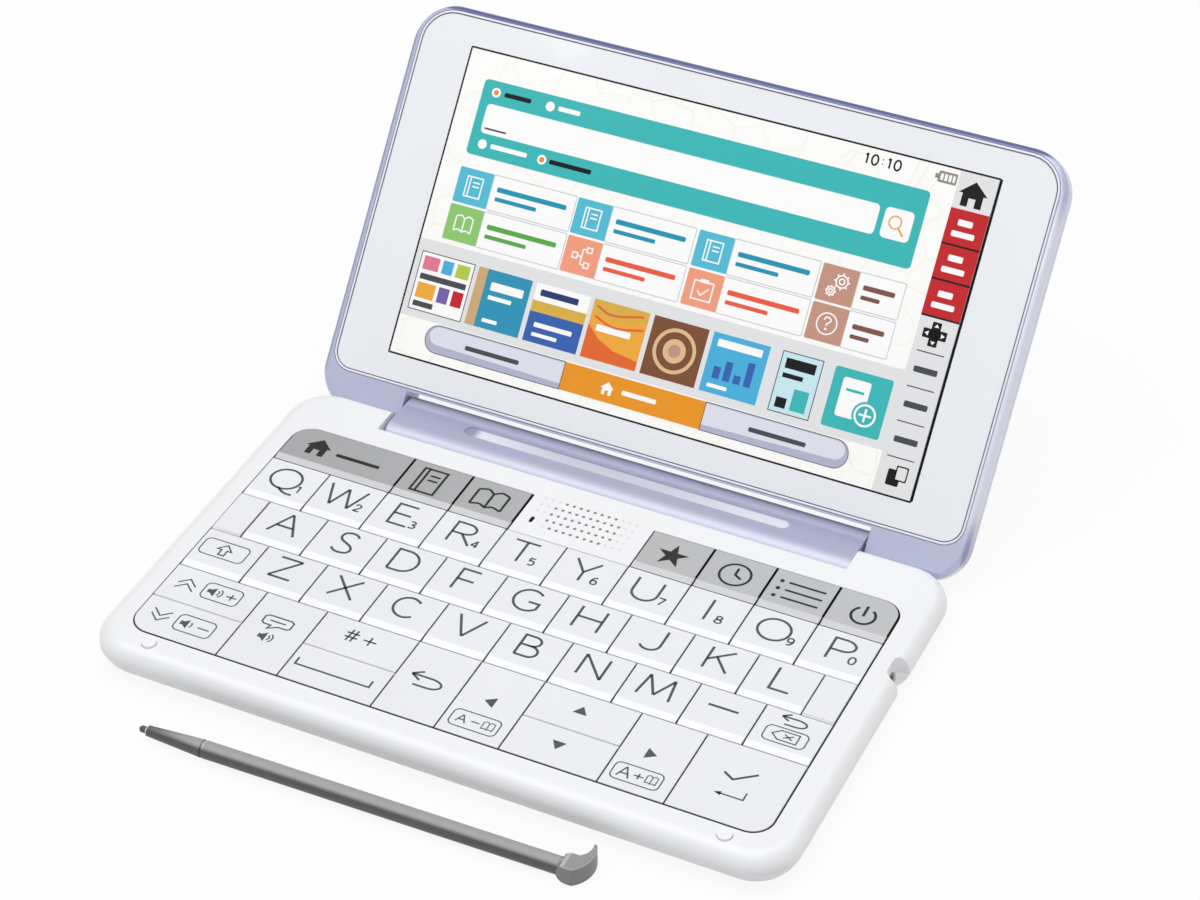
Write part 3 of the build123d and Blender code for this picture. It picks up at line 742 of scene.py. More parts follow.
# Silver keys: near black painted gap shade on sides and back edges, and a top lighter to the right as painted
# light.
KEY_SILVER = KeyPlastic("key_silver", (178, 179, 181), (222, 223, 225), (30, 32, 34), 0.25, 0.36, 1.32, 21.9)
HALF_TILE = Print("half_tile", (235, 236, 241))
TILE_LINE = Print("tile_line", (168, 172, 182))
LID_LAVENDER = LidPearl("lid_pearl", (194, 198, 225))
SPINE_LAVENDER = SpinePearl("spine_pearl", (178, 180, 207), 0.42, 0.3)
GLASS_BORDER = CoverGlass("glass_border", (244, 246, 250))
PALE_TRIM = Moulding("pale_trim", (240, 242, 252), 0.25, 0.01, 0.5)
KEY_INK = Print("key_ink", (74, 83, 86))
BLACK_INK = Print("black_ink", (28, 30, 30))
DARK_LINE = Print("dark_line", (70, 72, 92))
# Painted shade of the grille: a grey disc for each blind dimple, a grey disc for each hole's wall and a dark one
# for its depth.
DIMPLE_SHADE = Print("grille_dimple_shade", (226, 227, 230))
HOLE_WALL_SHADE = Print("grille_hole_wall_shade", (172, 174, 178))
HOLE_DEPTH_SHADE = Print("grille_hole_depth_shade", (106, 108, 112))
SHEET_RUBBER = Moulding("sheet_rubber", (92, 98, 102), 0.6, 0.05)
BOARD_GREEN = Moulding("board_green", (34, 92, 58), 0.45, 0.06)
POUCH_FOIL = Metal("pouch_foil", (196, 198, 202), 0.4, (900.0, 900.0, 900.0))
SPEAKER_STEEL = Metal("speaker_steel", (120, 121, 124), 0.4)
HOLDER_GREY = Moulding("holder_grey", (150, 145, 142), 0.5, 0.04)
SCREW_STEEL = Metal("screw_steel", (176, 178, 182), 0.3, (3000.0, 3000.0, 60.0))
FOOT_RUBBER = Moulding("foot_rubber", (243, 244, 246), 0.5, 0.005)
HINGE_STEEL = Metal("hinge_steel", (180, 181, 186), 0.28)
PANEL_STEEL = Metal("panel_steel", (160, 162, 166), 0.35)
STYLUS_GREY = PenPlastic("stylus_grey")

# ---------------------------------------------------------------- shapes

WELD = 1e-6
CREASE = math.radians(40.0)


@dataclass(frozen=True)
class Plate:
    """A flat place that artwork is laid on, in millimetres of the part's own frame."""

    origin: Point
    right: Point = X
    up: Point = Y

    def at(self, flat: np.ndarray, lift: float) -> np.ndarray:
        """Points in metres: origin plus u along right, v along up and lift along their cross product.

        Args:
            flat: The points (u, v) on the plate.
            lift: How far they lie off it.

        Returns:
            The points in space, one row each.
        """
        right, up = np.array(self.right), np.array(self.up)
        out = np.cross(right, up)
        return (np.array(self.origin) + flat[:, :1] * right + flat[:, 1:2] * up + lift * out) * MM


class Solid:
    """Gathers points and faces in metres, and turns them into one piece."""

    def __init__(self) -> None:
        """Starts with nothing."""
        self.points: list[np.ndarray] = []
        self.faces: list[list[int]] = []
        self.count = 0

    def add(self, points: np.ndarray, faces: Iterable[Iterable[int]]) -> None:
        """Adds points and faces.

        Args:
            points: The points, one row each.
            faces: Each face by the numbers of its points.
        """
        self.faces.extend([self.count + int(i) for i in face] for face in faces)
        self.points.append(points)
        self.count += len(points)

    def grid(self, rows: np.ndarray, around: bool = False) -> None:
        """Adds a grid of points as quads.

        Args:
            rows: The points by row and column.
            around: Whether the last column is joined to the first.
        """
        lines, columns = rows.shape[:2]
        index = np.arange(lines * columns).reshape(lines, columns)
        if around:
            index = np.concatenate([index, index[:, :1]], axis=1)
        quads = np.stack([index[:-1, :-1], index[:-1, 1:], index[1:, 1:], index[1:, :-1]], axis=-1)
        self.add(rows.reshape(-1, 3), quads.reshape(-1, 4))

    def piece(self, name: str, body: str, finish: Finish, smooth: bool = False) -> None:
        """Makes the mesh object, dresses it and lets it ride on a body.

        Args:
            name: Name of the object.
            body: The body that it moves with.
            finish: Its finish.
            smooth: Whether its faces are shaded as one curved surface.
        """
        mesh = bpy.data.meshes.new(name)
        mesh.from_pydata(np.concatenate(self.points).tolist(), [], self.faces)
        mesh.validate()
        if smooth:
            mesh.shade_smooth()
        dress(bpy.data.objects.new(name, mesh), body, finish)


def dress(thing: bpy.types.Object, body: str, finish: Finish) -> None:
    """Links a new object, gives it its finish and lets it ride on a body.

    Args:
        thing: The object.
        body: The body that it moves with.
        finish: Its finish.
    """
    bpy.context.scene.collection.objects.link(thing)
    thing.data.materials.append(Stock.get(finish))
    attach(thing, body)
    log.info("%s: %s", body, thing.name)


def finished(node: str, finish: Finish) -> None:
    """Puts a finish on a CAD node that keeps its own mesh.

    Args:
        node: The CAD node.
        finish: Its finish.
    """
    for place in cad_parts[node].material_slots:
        place.material = Stock.get(finish)
    log.info("finished: %s", node)


def polished(node: str, body: str, finish: Finish) -> None:
    """Puts a smooth copy of a CAD node in its place, welded and with normals weighted by face area.

    Args:
        node: The CAD node.
        body: The body it belongs to.
        finish: The finish of the copy.
    """
    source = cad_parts[node].data
    points = np.empty(len(source.vertices) * 3)
    source.vertices.foreach_get("co", points)
    corners = np.empty(len(source.loops), dtype=np.int64)
    source.loops.foreach_get("vertex_index", corners)
    grid = np.round(points.reshape(-1, 3) / WELD).astype(np.int64)
    places, welded = np.unique(grid, axis=0, return_inverse=True)
    triangles = welded.reshape(-1)[corners].reshape(-1, 3)
    whole = np.all(triangles != np.roll(triangles, 1, axis=1), axis=1)
    mesh = bpy.data.meshes.new(f"{node}_skin")
    mesh.from_pydata((places * WELD).tolist(), [], triangles[whole].tolist())
    mesh.shade_smooth()
    mesh.set_sharp_from_angle(angle=CREASE)
    copy = bpy.data.objects.new(f"{node}_skin", mesh)
    copy.modifiers.new("even_normals", "WEIGHTED_NORMAL").keep_sharp = True
    dress(copy, body, finish)
    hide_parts(node)


# ---------------------------------------------------------------- flat artwork

ARC_STEP = 12.0
DISC_TURN = 336.0
CURVE_STEPS = 8
TURN_BACK = -0.2
MITRE_LIMIT = 0.45
LETTER_GAP = 0.32


class Mark(Enum):
    """How a stroke of artwork is drawn."""

    LINE = ""
    LOOP = "o"
    CURVE = "~"
    FILL = "#"


def arc(x: float, y: float, rx: float, ry: float, start: float, end: float) -> np.ndarray:
    """Points along an ellipse: cosine and sine of an evenly growing angle, times the radii.

    Args:
        x, y: Its middle.
        rx, ry: Its radii along both axes.
        start, end: The first and the last angle in degrees.

    Returns:
        The points, one row each.
    """
    steps = max(3, int(abs(end - start) / ARC_STEP) + 1)
    turn = np.radians(np.linspace(start, end, steps))
    return np.stack([x + rx * np.cos(turn), y + ry * np.sin(turn)], axis=1)


def disc(x: float, y: float, radius: float) -> np.ndarray:
    """Outline of a disc about (x, y)."""
    return arc(x, y, radius, radius, 0, DISC_TURN)


def rounded(x: float, y: float, width: float, height: float, radius: float) -> np.ndarray:
    """Outline of a box about (x, y) whose corners are quarter circles.

    Args:
        x, y: Its middle.
        width, height: Its size.
        radius: Radius of its corners, or 0 for plain ones.

    Returns:
        The points of the outline, anticlockwise.
    """
    if not radius:
        return np.array((x, y)) + np.array([(-1, -1), (1, -1), (1, 1), (-1, 1)]) * (width / 2, height / 2)
    half_w, half_h = width / 2 - radius, height / 2 - radius
    corners = ((1, 1, 0), (-1, 1, 90), (-1, -1, 180), (1, -1, 270))
    return np.concatenate(
        [arc(x + sx * half_w, y + sy * half_h, radius, radius, start, start + 90) for sx, sy, start in corners]
    )


def between(x0: float, y0: float, x1: float, y1: float, radius: float = 0.0) -> np.ndarray:
    """Outline of a box between two corners."""
    return rounded((x0 + x1) / 2, (y0 + y1) / 2, x1 - x0, y1 - y0, radius)


def flowing(points: np.ndarray) -> np.ndarray:
    """A Catmull-Rom curve: on each span a cubic of the two points beside it and the two beyond them.

    Args:
        points: The points that it goes through.

    Returns:
        Points along the curve, CURVE_STEPS for each span.
    """
    ends = np.concatenate([2 * points[:1] - points[1:2], points, 2 * points[-1:] - points[-2:-1]])
    a, b, c, d = ends[:-3, None], ends[1:-2, None], ends[2:-1, None], ends[3:, None]
    t = np.linspace(0, 1, CURVE_STEPS, endpoint=False)[None, :, None]
    curve = 0.5 * (2 * b + (c - a) * t + (2 * a - 5 * b + 4 * c - d) * t**2 + (3 * b - a - 3 * c + d) * t**3)
    return np.concatenate([curve.reshape(-1, 2), points[-1:]])


# What a run of two, five or six numbers stands for.
RUNS = {2: lambda x, y: np.array([(x, y)]), 5: between, 6: arc}


def trace(text: str) -> list[tuple[Mark, np.ndarray]]:
    """Reads artwork from a line of text.

    Args:
        text: Strokes parted by ";". Each is a run of points "x,y", arcs "x,y,rx,ry,from,to" and boxes
            "x0,y0,x1,y1,radius", after a sign: "o" closes it, "~" makes it a flowing curve, "#" fills it.

    Returns:
        The strokes with their points.
    """
    strokes = []
    for part in text.split(";"):
        part = part.strip()
        mark = next((m for m in (Mark.LOOP, Mark.CURVE, Mark.FILL) if part.startswith(m.value)), Mark.LINE)
        runs = []
        for token in part.lstrip("o~#").split():
            values = [float(v) for v in token.split(",")]
            runs.append(RUNS[len(values)](*values))
        points = np.concatenate(runs)
        strokes.append((mark, flowing(points) if mark is Mark.CURVE else points))
    return strokes


class Ink(Solid):
    """Flat artwork on a plate: filled outlines and strokes of even width."""

    def __init__(self, plate: Plate, lift: float) -> None:
        """Starts an empty sheet.

        Args:
            plate: The plate that it lies on.
            lift: How far it lies off the plate, in millimetres.
        """
        super().__init__()
        self.plate = plate
        self.lift = lift

    def fill(self, outline: np.ndarray) -> None:
        """Fills an outline. It is turned round if its area, by the sum of cross products, is negative.

        Args:
            outline: Its points (u, v) on the plate.
        """
        x, y = outline.T
        if np.sum(x * np.roll(y, -1) - y * np.roll(x, -1)) < 0:
            outline = outline[::-1]
        self.add(self.plate.at(outline, self.lift), [range(len(outline))])

    def stroke(self, path: np.ndarray, width: float, closed: bool = False) -> None:
        """A ribbon along a path. Each point moves half the width to both sides, on the mitre of its turn.

        An open path is cut where it turns back sharply, so that the ribbon keeps its width.

        Args:
            path: The points of its middle line.
            width: Its width in millimetres.
            closed: Whether it runs on from the last point to the first.
        """
        beyond = path[:1] if closed else path[-1:] + 1
        path = path[np.linalg.norm(np.diff(path, axis=0, append=beyond), axis=1) > 1e-6]
        after = np.roll(path, -1, axis=0) - path
        after /= np.linalg.norm(after, axis=1, keepdims=True)
        before = np.roll(after, 1, axis=0)
        sharp = np.flatnonzero(np.sum(before * after, axis=1)[1:-1] < TURN_BACK) + 1
        if not closed and len(sharp):
            corners = [0, *sharp, len(path) - 1]
            for first, last in zip(corners, corners[1:]):
                self.stroke(path[first : last + 1], width)
            return
        if not closed:
            after[-1], before[0] = before[-1], after[0]
        middle = before + after
        middle /= np.maximum(np.linalg.norm(middle, axis=1, keepdims=True), 1e-9)
        reach = 0.5 * width / np.clip(np.sum(middle * before, axis=1, keepdims=True), MITRE_LIMIT, 1)
        side = np.stack([-middle[:, 1], middle[:, 0]], axis=1) * reach
        if closed:
            path, side = np.concatenate([path, path[:1]]), np.concatenate([side, side[:1]])
        rows = np.stack([path + side, path - side])
        flat = self.plate.at(rows.reshape(-1, 2), self.lift).reshape(2, -1, 3)
        self.grid(flat[::-1])

    def draw(self, text: str, x: float, y: float, width: float, height: float, pen: float) -> None:
        """Draws artwork.

        Args:
            text: The artwork, as trace() reads it, on a unit square.
            x, y: Where the corner of the square goes.
            width, height: The size that it is drawn in.
            pen: Width of its lines in millimetres.
        """
        for mark, points in trace(text):
            placed = points * (width, height) + (x, y)
            if mark is Mark.FILL:
                self.fill(placed)
            else:
                self.stroke(placed, pen, mark is Mark.LOOP)

    def word(self, text: str, x: float, y: float, height: float, pen: float) -> None:
        """Sets plain characters side by side, from x on.

        Args:
            text: The characters.
            x, y: The lower left corner of the first one.
            height: Their height in millimetres.
            pen: Width of their lines in millimetres.
        """
        for letter in text:
            width = GLYPH_WIDTHS[letter] * height
            self.draw(GLYPHS[letter], x, y, width, height, pen)
            x += width + LETTER_GAP * height


# Characters on a unit square, and their widths as shares of their heights.
GLYPHS = {
    "A": "0,0 .5,1 1,0; .19,.36 .81,.36",
    "B": "0,.53 .55,.53; 0,0 0,1 .5,.765,.38,.235,90,-90; .5,.53 .58,.265,.42,.265,90,-90 0,0",
    "C": ".55,.5,.55,.5,46,314",
    "D": "0,0 0,1 .42,.5,.58,.5,90,-90 0,0",
    "E": "1,1 0,1 0,0 1,0; 0,.52 .92,.52",
    "F": "1,1 0,1 0,0; 0,.5 .94,.5",
    "G": ".55,.5,.55,.5,46,322 1,.44 .58,.44",
    "H": "0,0 0,1; 1,0 1,1; 0,.52 1,.52",
    "I": ".5,0 .5,1",
    "J": "1,1 1,.3 .5,.3,.5,.3,0,-150",
    "K": "0,0 0,1; .96,1 0,.4; .33,.61 1,0",
    "L": "0,1 0,0 1,0",
    "M": "0,0 .12,1 .5,.12 .88,1 1,0",
    "N": "0,0 0,1 1,0 1,1",
    "O": "o.5,.5,.5,.5,0,348",
    "P": "0,0 0,1 .5,.73,.5,.27,90,-90 0,.46",
    "Q": "o.5,.5,.5,.5,0,348; ~.45,.03 .62,-.1 .8,-.17 1,-.17",
    "R": "0,0 0,1 .48,.74,.46,.26,90,-90 0,.48; .45,.48 1,0",
    "S": "~.95,.86 .78,.97 .5,1 .22,.93 .12,.76 .24,.6 .52,.5 .82,.38 .94,.22 .82,.06 .5,0 .2,.03 0,.14",
    "T": "0,1 1,1; .5,1 .5,0",
    "U": "0,1 0,.38 .5,.38,.5,.38,180,360 1,1",
    "V": "0,1 .5,0 1,1",
    "W": "0,1 .26,0 .5,.92 .74,0 1,1",
    "X": "0,0 1,1; 0,1 1,0",
    "Y": "0,1 .5,.44 1,1; .5,.44 .5,0",
    "Z": "0,1 1,1 0,0 1,0",
    "0": "o.5,.5,.5,.5,0,348",
    "1": ".1,.8 .6,1 .6,0",
    "2": "~.05,.8 .2,.96 .5,1 .85,.9 .9,.66 .6,.4 .02,.02; 0,0 1,0",
    "3": "~.06,.94 .4,1 .8,.9 .82,.66 .4,.53; ~.4,.53 .9,.42 .95,.16 .5,0 .04,.07",
    "4": ".74,0 .74,1 0,.27 1,.27",
    "5": ".9,1 .15,1 .1,.55 .45,.33,.5,.33,110,-130",
    "6": "~.88,.96 .5,.97 .14,.7 .05,.35; o.5,.3,.45,.3,0,348",
    "7": "0,1 1,1 .35,0",
    "8": "o.5,.76,.4,.24,0,348; o.5,.26,.5,.26,0,348",
    "9": "~.12,.04 .5,.03 .86,.3 .95,.65; o.5,.7,.45,.3,0,348",
    ":": "#.35,.2 .65,.2 .65,.34 .35,.34; #.35,.66 .65,.66 .65,.8 .35,.8",
    "-": "0,.45 1,.45",
    "+": "0,.45 1,.45; .5,.85 .5,.05",
}
GLYPH_WIDTHS = {
    "A": 0.95, "B": 0.72, "C": 0.86, "D": 0.86, "E": 0.66, "F": 0.61, "G": 0.88, "H": 0.84, "I": 0.1,
    "J": 0.68, "K": 0.78, "L": 0.64, "M": 1.14, "N": 0.84, "O": 1.06, "P": 0.74, "Q": 1.06, "R": 0.78,
    "S": 0.68, "T": 0.86, "U": 0.86, "V": 0.96, "W": 1.32, "X": 0.9, "Y": 0.86, "Z": 0.82,
    "1": 0.42, ":": 0.36, **dict.fromkeys("023456789", 0.66),
}


def cog(x: float, y: float, size: float) -> str:
    """Artwork of a toothed wheel: a ring, a hub and eight teeth, each one along its radius.

    Args:
        x, y: Its middle on the unit square.
        size: Its radius to the tips of the teeth.

    Returns:
        The artwork, as trace() reads it.
    """
    rings = (f"o{x},{y},{size * part:.3f},{size * part:.3f},0,345" for part in (0.7, 0.32))
    teeth = []
    for turn in np.radians(np.arange(0, 360, 45)):
        ends = ((x + size * part * math.cos(turn), y + size * part * math.sin(turn)) for part in (0.72, 1.0))
        teeth.append(" ".join(f"{u:.3f},{v:.3f}" for u, v in ends))
    return "; ".join([*rings, *teeth])


HOUSE = "#0,.5 .5,1 1,.5 .86,.5 .86,0 .62,0 .62,.34 .38,.34 .38,0 .14,0 .14,.5"
SPEAKER = "#0,.32 .18,.32 .42,.05 .42,.95 .18,.68 0,.68"
QUIET = SPEAKER + "; .4,.5,.22,.3,-50,50"
LOUD = QUIET + "; .4,.5,.4,.48,-50,50"
BOOK = "o.08,.0 .92,.0 .92,1 .08,1; .26,0 .26,1; .42,.74 .78,.74; .42,.54 .78,.54"
OPEN_BOOK = (
    "~.5,.12 .3,.22 .04,.14; .04,.14 .04,.84; ~.04,.84 .3,.92 .5,.8 .7,.92 .96,.84; .96,.84 .96,.14; "
    "~.96,.14 .7,.22 .5,.12; .5,.8 .5,.12"
)
CLOCK = "o.5,.5,.5,.5,0,348; .5,.82 .5,.5 .74,.36"
LIST = (
    "#.07,.88,.045,.08,0,340; .22,.88 1,.88; #.07,.5,.045,.08,0,340; .22,.5 1,.5; "
    "#.07,.12,.045,.08,0,340; .22,.12 1,.12"
)
CLIPBOARD = "o0,0 1,0 1,.88 0,.88; #.28,.82 .72,.82 .72,1 .28,1; .25,.42 .45,.22 .8,.6"
GEARS = cog(0.68, 0.7, 0.42) + "; " + cog(0.24, 0.16, 0.28)
BRANCHES = (
    "o.02,.38 .28,.38 .28,.64 .02,.64; .28,.51 .52,.51; .52,.14 .52,.88; .52,.88 .72,.88; "
    ".52,.14 .72,.14; o.72,.76 .98,.76 .98,1 .72,1; o.72,.02 .98,.02 .98,.26 .72,.26"
)
QUERY = (
    "o.5,.5,.5,.5,0,348; ~.34,.64 .38,.77 .52,.8 .66,.72 .64,.6 .51,.5 .5,.38; "
    "#.44,.2 .56,.2 .56,.3 .44,.3"
)
CHECK = "0,.45 .36,.08 1,.95"
RETURN = "1,1 1,.1 .1,.1; #0,.1 .24,-.16 .24,.36"
BACK = ".3,1 0,.68 .3,.36; 0,.68 .62,.68 .62,.34,.36,.34,90,-90 .2,0"
BUBBLE = "o.1,.3 .35,.3 .3,.0 .6,.3 .9,.3 1,.42 1,.88 .9,1 .1,1 0,.88 0,.42; .22,.65 .78,.65"
CHEVRONS_UP = "0,.46 .5,1 1,.46; 0,.0 .5,.54 1,.0"
DASH = "0,.5 1,.5"
HASH = ".3,0 .42,1; .62,0 .74,1; .08,.34 .96,.34; .08,.68 .96,.68"
SPACE = "0,.8 0,0 1,0 1,.8"
DELETE = "o0,.5 .28,1 1,1 1,0 .28,0; .46,.28 .8,.72; .46,.72 .8,.28"
SHIFT = "o.5,1 1,.5 .7,.5 .7,0 .3,0 .3,.5 0,.5"
POWER = ".5,.45,.45,.45,125,415; .5,1.0 .5,.42"
STAR = "#.5,1 .62,.64 1,.64 .7,.42 .82,.05 .5,.28 .18,.05 .3,.42 0,.64 .38,.64"

# ---------------------------------------------------------------- base


@dataclass
class Base:
    """The case with everything that stands still in it."""

    cap_top: float = 9.9
    tile_x: float = 66.36
    tile_y: float = 0.22
    tile_width: float = 6.6
    tile_depth: float = 11.9
    tile_corner: float = 0.1
    gap_width: float = 0.1
    tile_lifts: tuple[float, float] = (0.006, 0.01)
    skins: tuple[tuple[str, Finish], ...] = (
        ("upper_case", DECK_WHITE),
        ("lower_case", CASE_WHITE),
        ("rubber_feet", FOOT_RUBBER),
    )
    insides: tuple[tuple[str, Finish], ...] = (
        ("keypad_sheet", SHEET_RUBBER),
        ("circuit_board", BOARD_GREEN),
        ("battery_pack", POUCH_FOIL),
        ("speaker", SPEAKER_STEEL),
        ("stylus_holder", HOLDER_GREY),
        ("case_screws", SCREW_STEEL),
    )

    def dress(self) -> None:
        """Gives the shells a smooth skin and the inner parts their finishes."""
        for node, finish in self.skins:
            polished(node, "base", finish)
        for node, finish in self.insides:
            finished(node, finish)
        self.tiles()

    def tiles(self) -> None:
        """Colours the two blank half tiles at the ends of the home row and draws the gap round each."""
        plate = Plate((0.0, 0.0, self.cap_top))
        fill, line = (Ink(plate, lift) for lift in self.tile_lifts)
        for side in (-1, 1):
            tile = rounded(side * self.tile_x, self.tile_y, self.tile_width, self.tile_depth, self.tile_corner)
            fill.fill(tile)
            line.stroke(tile, self.gap_width, True)
        fill.piece("half_tile_faces", "base", HALF_TILE)
        line.piece("half_tile_lines", "base", TILE_LINE)


@dataclass
class Grille:
    """The speaker's grid of holes in a flush plate, with blind dimples that carry its rows on at both ends, all
    drawn as flat discs of painted shade.

    Each row begins at its column in starts and has its open holes in its span of open_spans.
    """

    left: float = -11.0
    back: float = 32.15
    top: float = 9.6
    pitch_x: float = 1.612
    pitch_y: float = 2.155
    radius: float = 0.4
    # The dark disc of painted shade in each hole: its radius and its shift from the hole's middle.
    shade_radius: float = 0.248
    shade_shift: tuple[float, float] = (0.06, -0.08)
    open_spans: tuple[tuple[int, int], ...] = ((3, 10), (2, 11), (2, 11), (2, 11), (3, 10))
    starts: tuple[int, ...] = (0, 0, 0, 2, 2)
    columns: int = 14
    plate: tuple[float, float, float, float] = (-9.7, 24.4, 9.7, 33.4)
    lifts: tuple[float, ...] = (0.01, 0.014, 0.014, 0.018)

    def dress(self) -> None:
        """Lays the plate on the deck and draws each hole as a shaded cup and each dimple as a disc, in painted
        shade.
        """
        deck = Plate((0.0, 0.0, self.top))
        ground, dimples, holes, hole_shades = (Ink(deck, lift) for lift in self.lifts)
        ground.fill(between(*self.plate))
        shift_x, shift_y = self.shade_shift
        for row, ((first, last), start) in enumerate(zip(self.open_spans, self.starts)):
            for column in range(start, self.columns):
                x, y = self.left + column * self.pitch_x, self.back - row * self.pitch_y
                if first <= column <= last:
                    holes.fill(disc(x, y, self.radius))
                    hole_shades.fill(disc(x + shift_x, y + shift_y, self.shade_radius))
                else:
                    dimples.fill(disc(x, y, self.radius))
        ground.piece("grille_plate", "base", DECK_WHITE)
        dimples.piece("grille_dimples", "base", DIMPLE_SHADE)
        holes.piece("grille_holes", "base", HOLE_WALL_SHADE)
        hole_shades.piece("grille_hole_shades", "base", HOLE_DEPTH_SHADE)


# ---------------------------------------------------------------- keys

TOP_ROW = "QWERTYUIOP"
HOME_ROW = "ASDFGHJKL"
LOWER_ROW = "ZXCVBNM"
PILL = "pill"
DECK_CORNER = (-76.3, -46.5)

# The marks of each key: artwork, its box from the deck's front left corner, and the width of its pen.
KEY_MARKS = {
    "shift_key": [(PILL, 7.7, 32.5, 18.0, 37.5, 0.28), (SHIFT, 11.2, 33.4, 14.5, 36.7, 0.35)],
    "dash_key": [(DASH, 121.8, 35.1, 128.2, 35.7, 0.6)],
    "delete_key": [
        (PILL, 134.6, 31.0, 143.4, 35.3, 0.28),
        (DELETE, 136.2, 31.9, 141.6, 34.5, 0.3),
        (BACK, 136.2, 36.4, 141.8, 39.4, 0.42),
    ],
    "voice_key": [
        (BUBBLE, 30.8, 17.9, 37.2, 21.7, 0.36),
        (LOUD, 32.1, 14.0, 36.2, 17.1, 0.32),
    ],
    "back_key": [(BACK, 65.4, 15.9, 72.6, 20.0, 0.5)],
    "left_key": [
        ("#0,.5 1,1 1,0", 81.8, 16.3, 84.1, 19.3, 0.3),
        (PILL, 77.9, 9.0, 88.1, 13.6, 0.28),
        (GLYPHS["A"], 79.2, 10.2, 81.2, 12.4, 0.3),
        (DASH, 82.2, 10.6, 84.0, 12.0, 0.32),
        (OPEN_BOOK, 84.6, 9.9, 87.2, 12.7, 0.24),
    ],
    "right_key": [
        ("#1,.5 0,1 0,0", 116.6, 16.3, 118.9, 19.3, 0.3),
        (PILL, 112.6, 9.0, 122.7, 13.6, 0.28),
        (GLYPHS["A"], 113.8, 9.9, 116.3, 12.8, 0.34),
        (GLYPHS["+"], 117.0, 10.4, 119.0, 12.4, 0.32),
        (OPEN_BOOK, 119.5, 9.9, 121.9, 12.7, 0.24),
    ],
    "enter_key": [(CHECK, 132.2, 17.9, 138.6, 21.5, 0.55), (RETURN, 132.5, 13.6, 138.5, 15.9, 0.36)],
    "page_rocker": [
        (CHEVRONS_UP, 9.3, 21.0, 13.4, 24.3, 0.34),
        (CHEVRONS_UP, 9.3, 13.9, 13.4, 10.6, 0.34),
        (PILL, 15.2, 20.5, 23.6, 25.3, 0.28),
        (PILL, 15.2, 9.8, 23.6, 14.6, 0.28),
        (LOUD, 16.1, 21.4, 20.3, 24.4, 0.3),
        (GLYPHS["+"], 20.5, 21.8, 22.8, 24.1, 0.34),
        (QUIET, 16.1, 10.7, 20.3, 13.7, 0.3),
        (GLYPHS["-"], 20.1, 11.1, 22.7, 13.4, 0.34),
    ],
    "symbol_space_rocker": [
        (HASH, 47.7, 21.5, 50.9, 25.0, 0.4),
        (GLYPHS["+"], 52.0, 21.7, 54.9, 24.8, 0.4),
        (SPACE, 43.0, 11.3, 59.6, 13.7, 0.45),
    ],
    "cursor_rocker": [
        ("#0,0 .5,1 1,0", 98.8, 22.1, 101.8, 24.3, 0.3),
        ("#0,1 .5,0 1,1", 98.8, 11.2, 101.8, 13.5, 0.3),
    ],
}
SILVER_MARKS = {
    "home_key": [(HOUSE, 10.7, 70.3, 16.7, 75.7, 0.3), ("#18.4,71.8,28.8,72.8,.35", 0, 0, 1, 1, 0.3)],
    "native_key": [(BOOK, 37.3, 69.0, 43.7, 76.6, 0.55)],
    "foreign_key": [(OPEN_BOOK, 51.0, 69.2, 58.8, 76.4, 0.55)],
    "my_books_key": [(STAR, 93.6, 69.3, 100.4, 76.3, 0.4)],
    "history_key": [(CLOCK, 107.8, 69.4, 114.4, 76.0, 0.55)],
    "contents_key": [(LIST, 119.8, 69.6, 130.2, 75.9, 0.55)],
    "power_key": [(POWER, 136.6, 69.6, 142.2, 75.2, 0.6)],
}


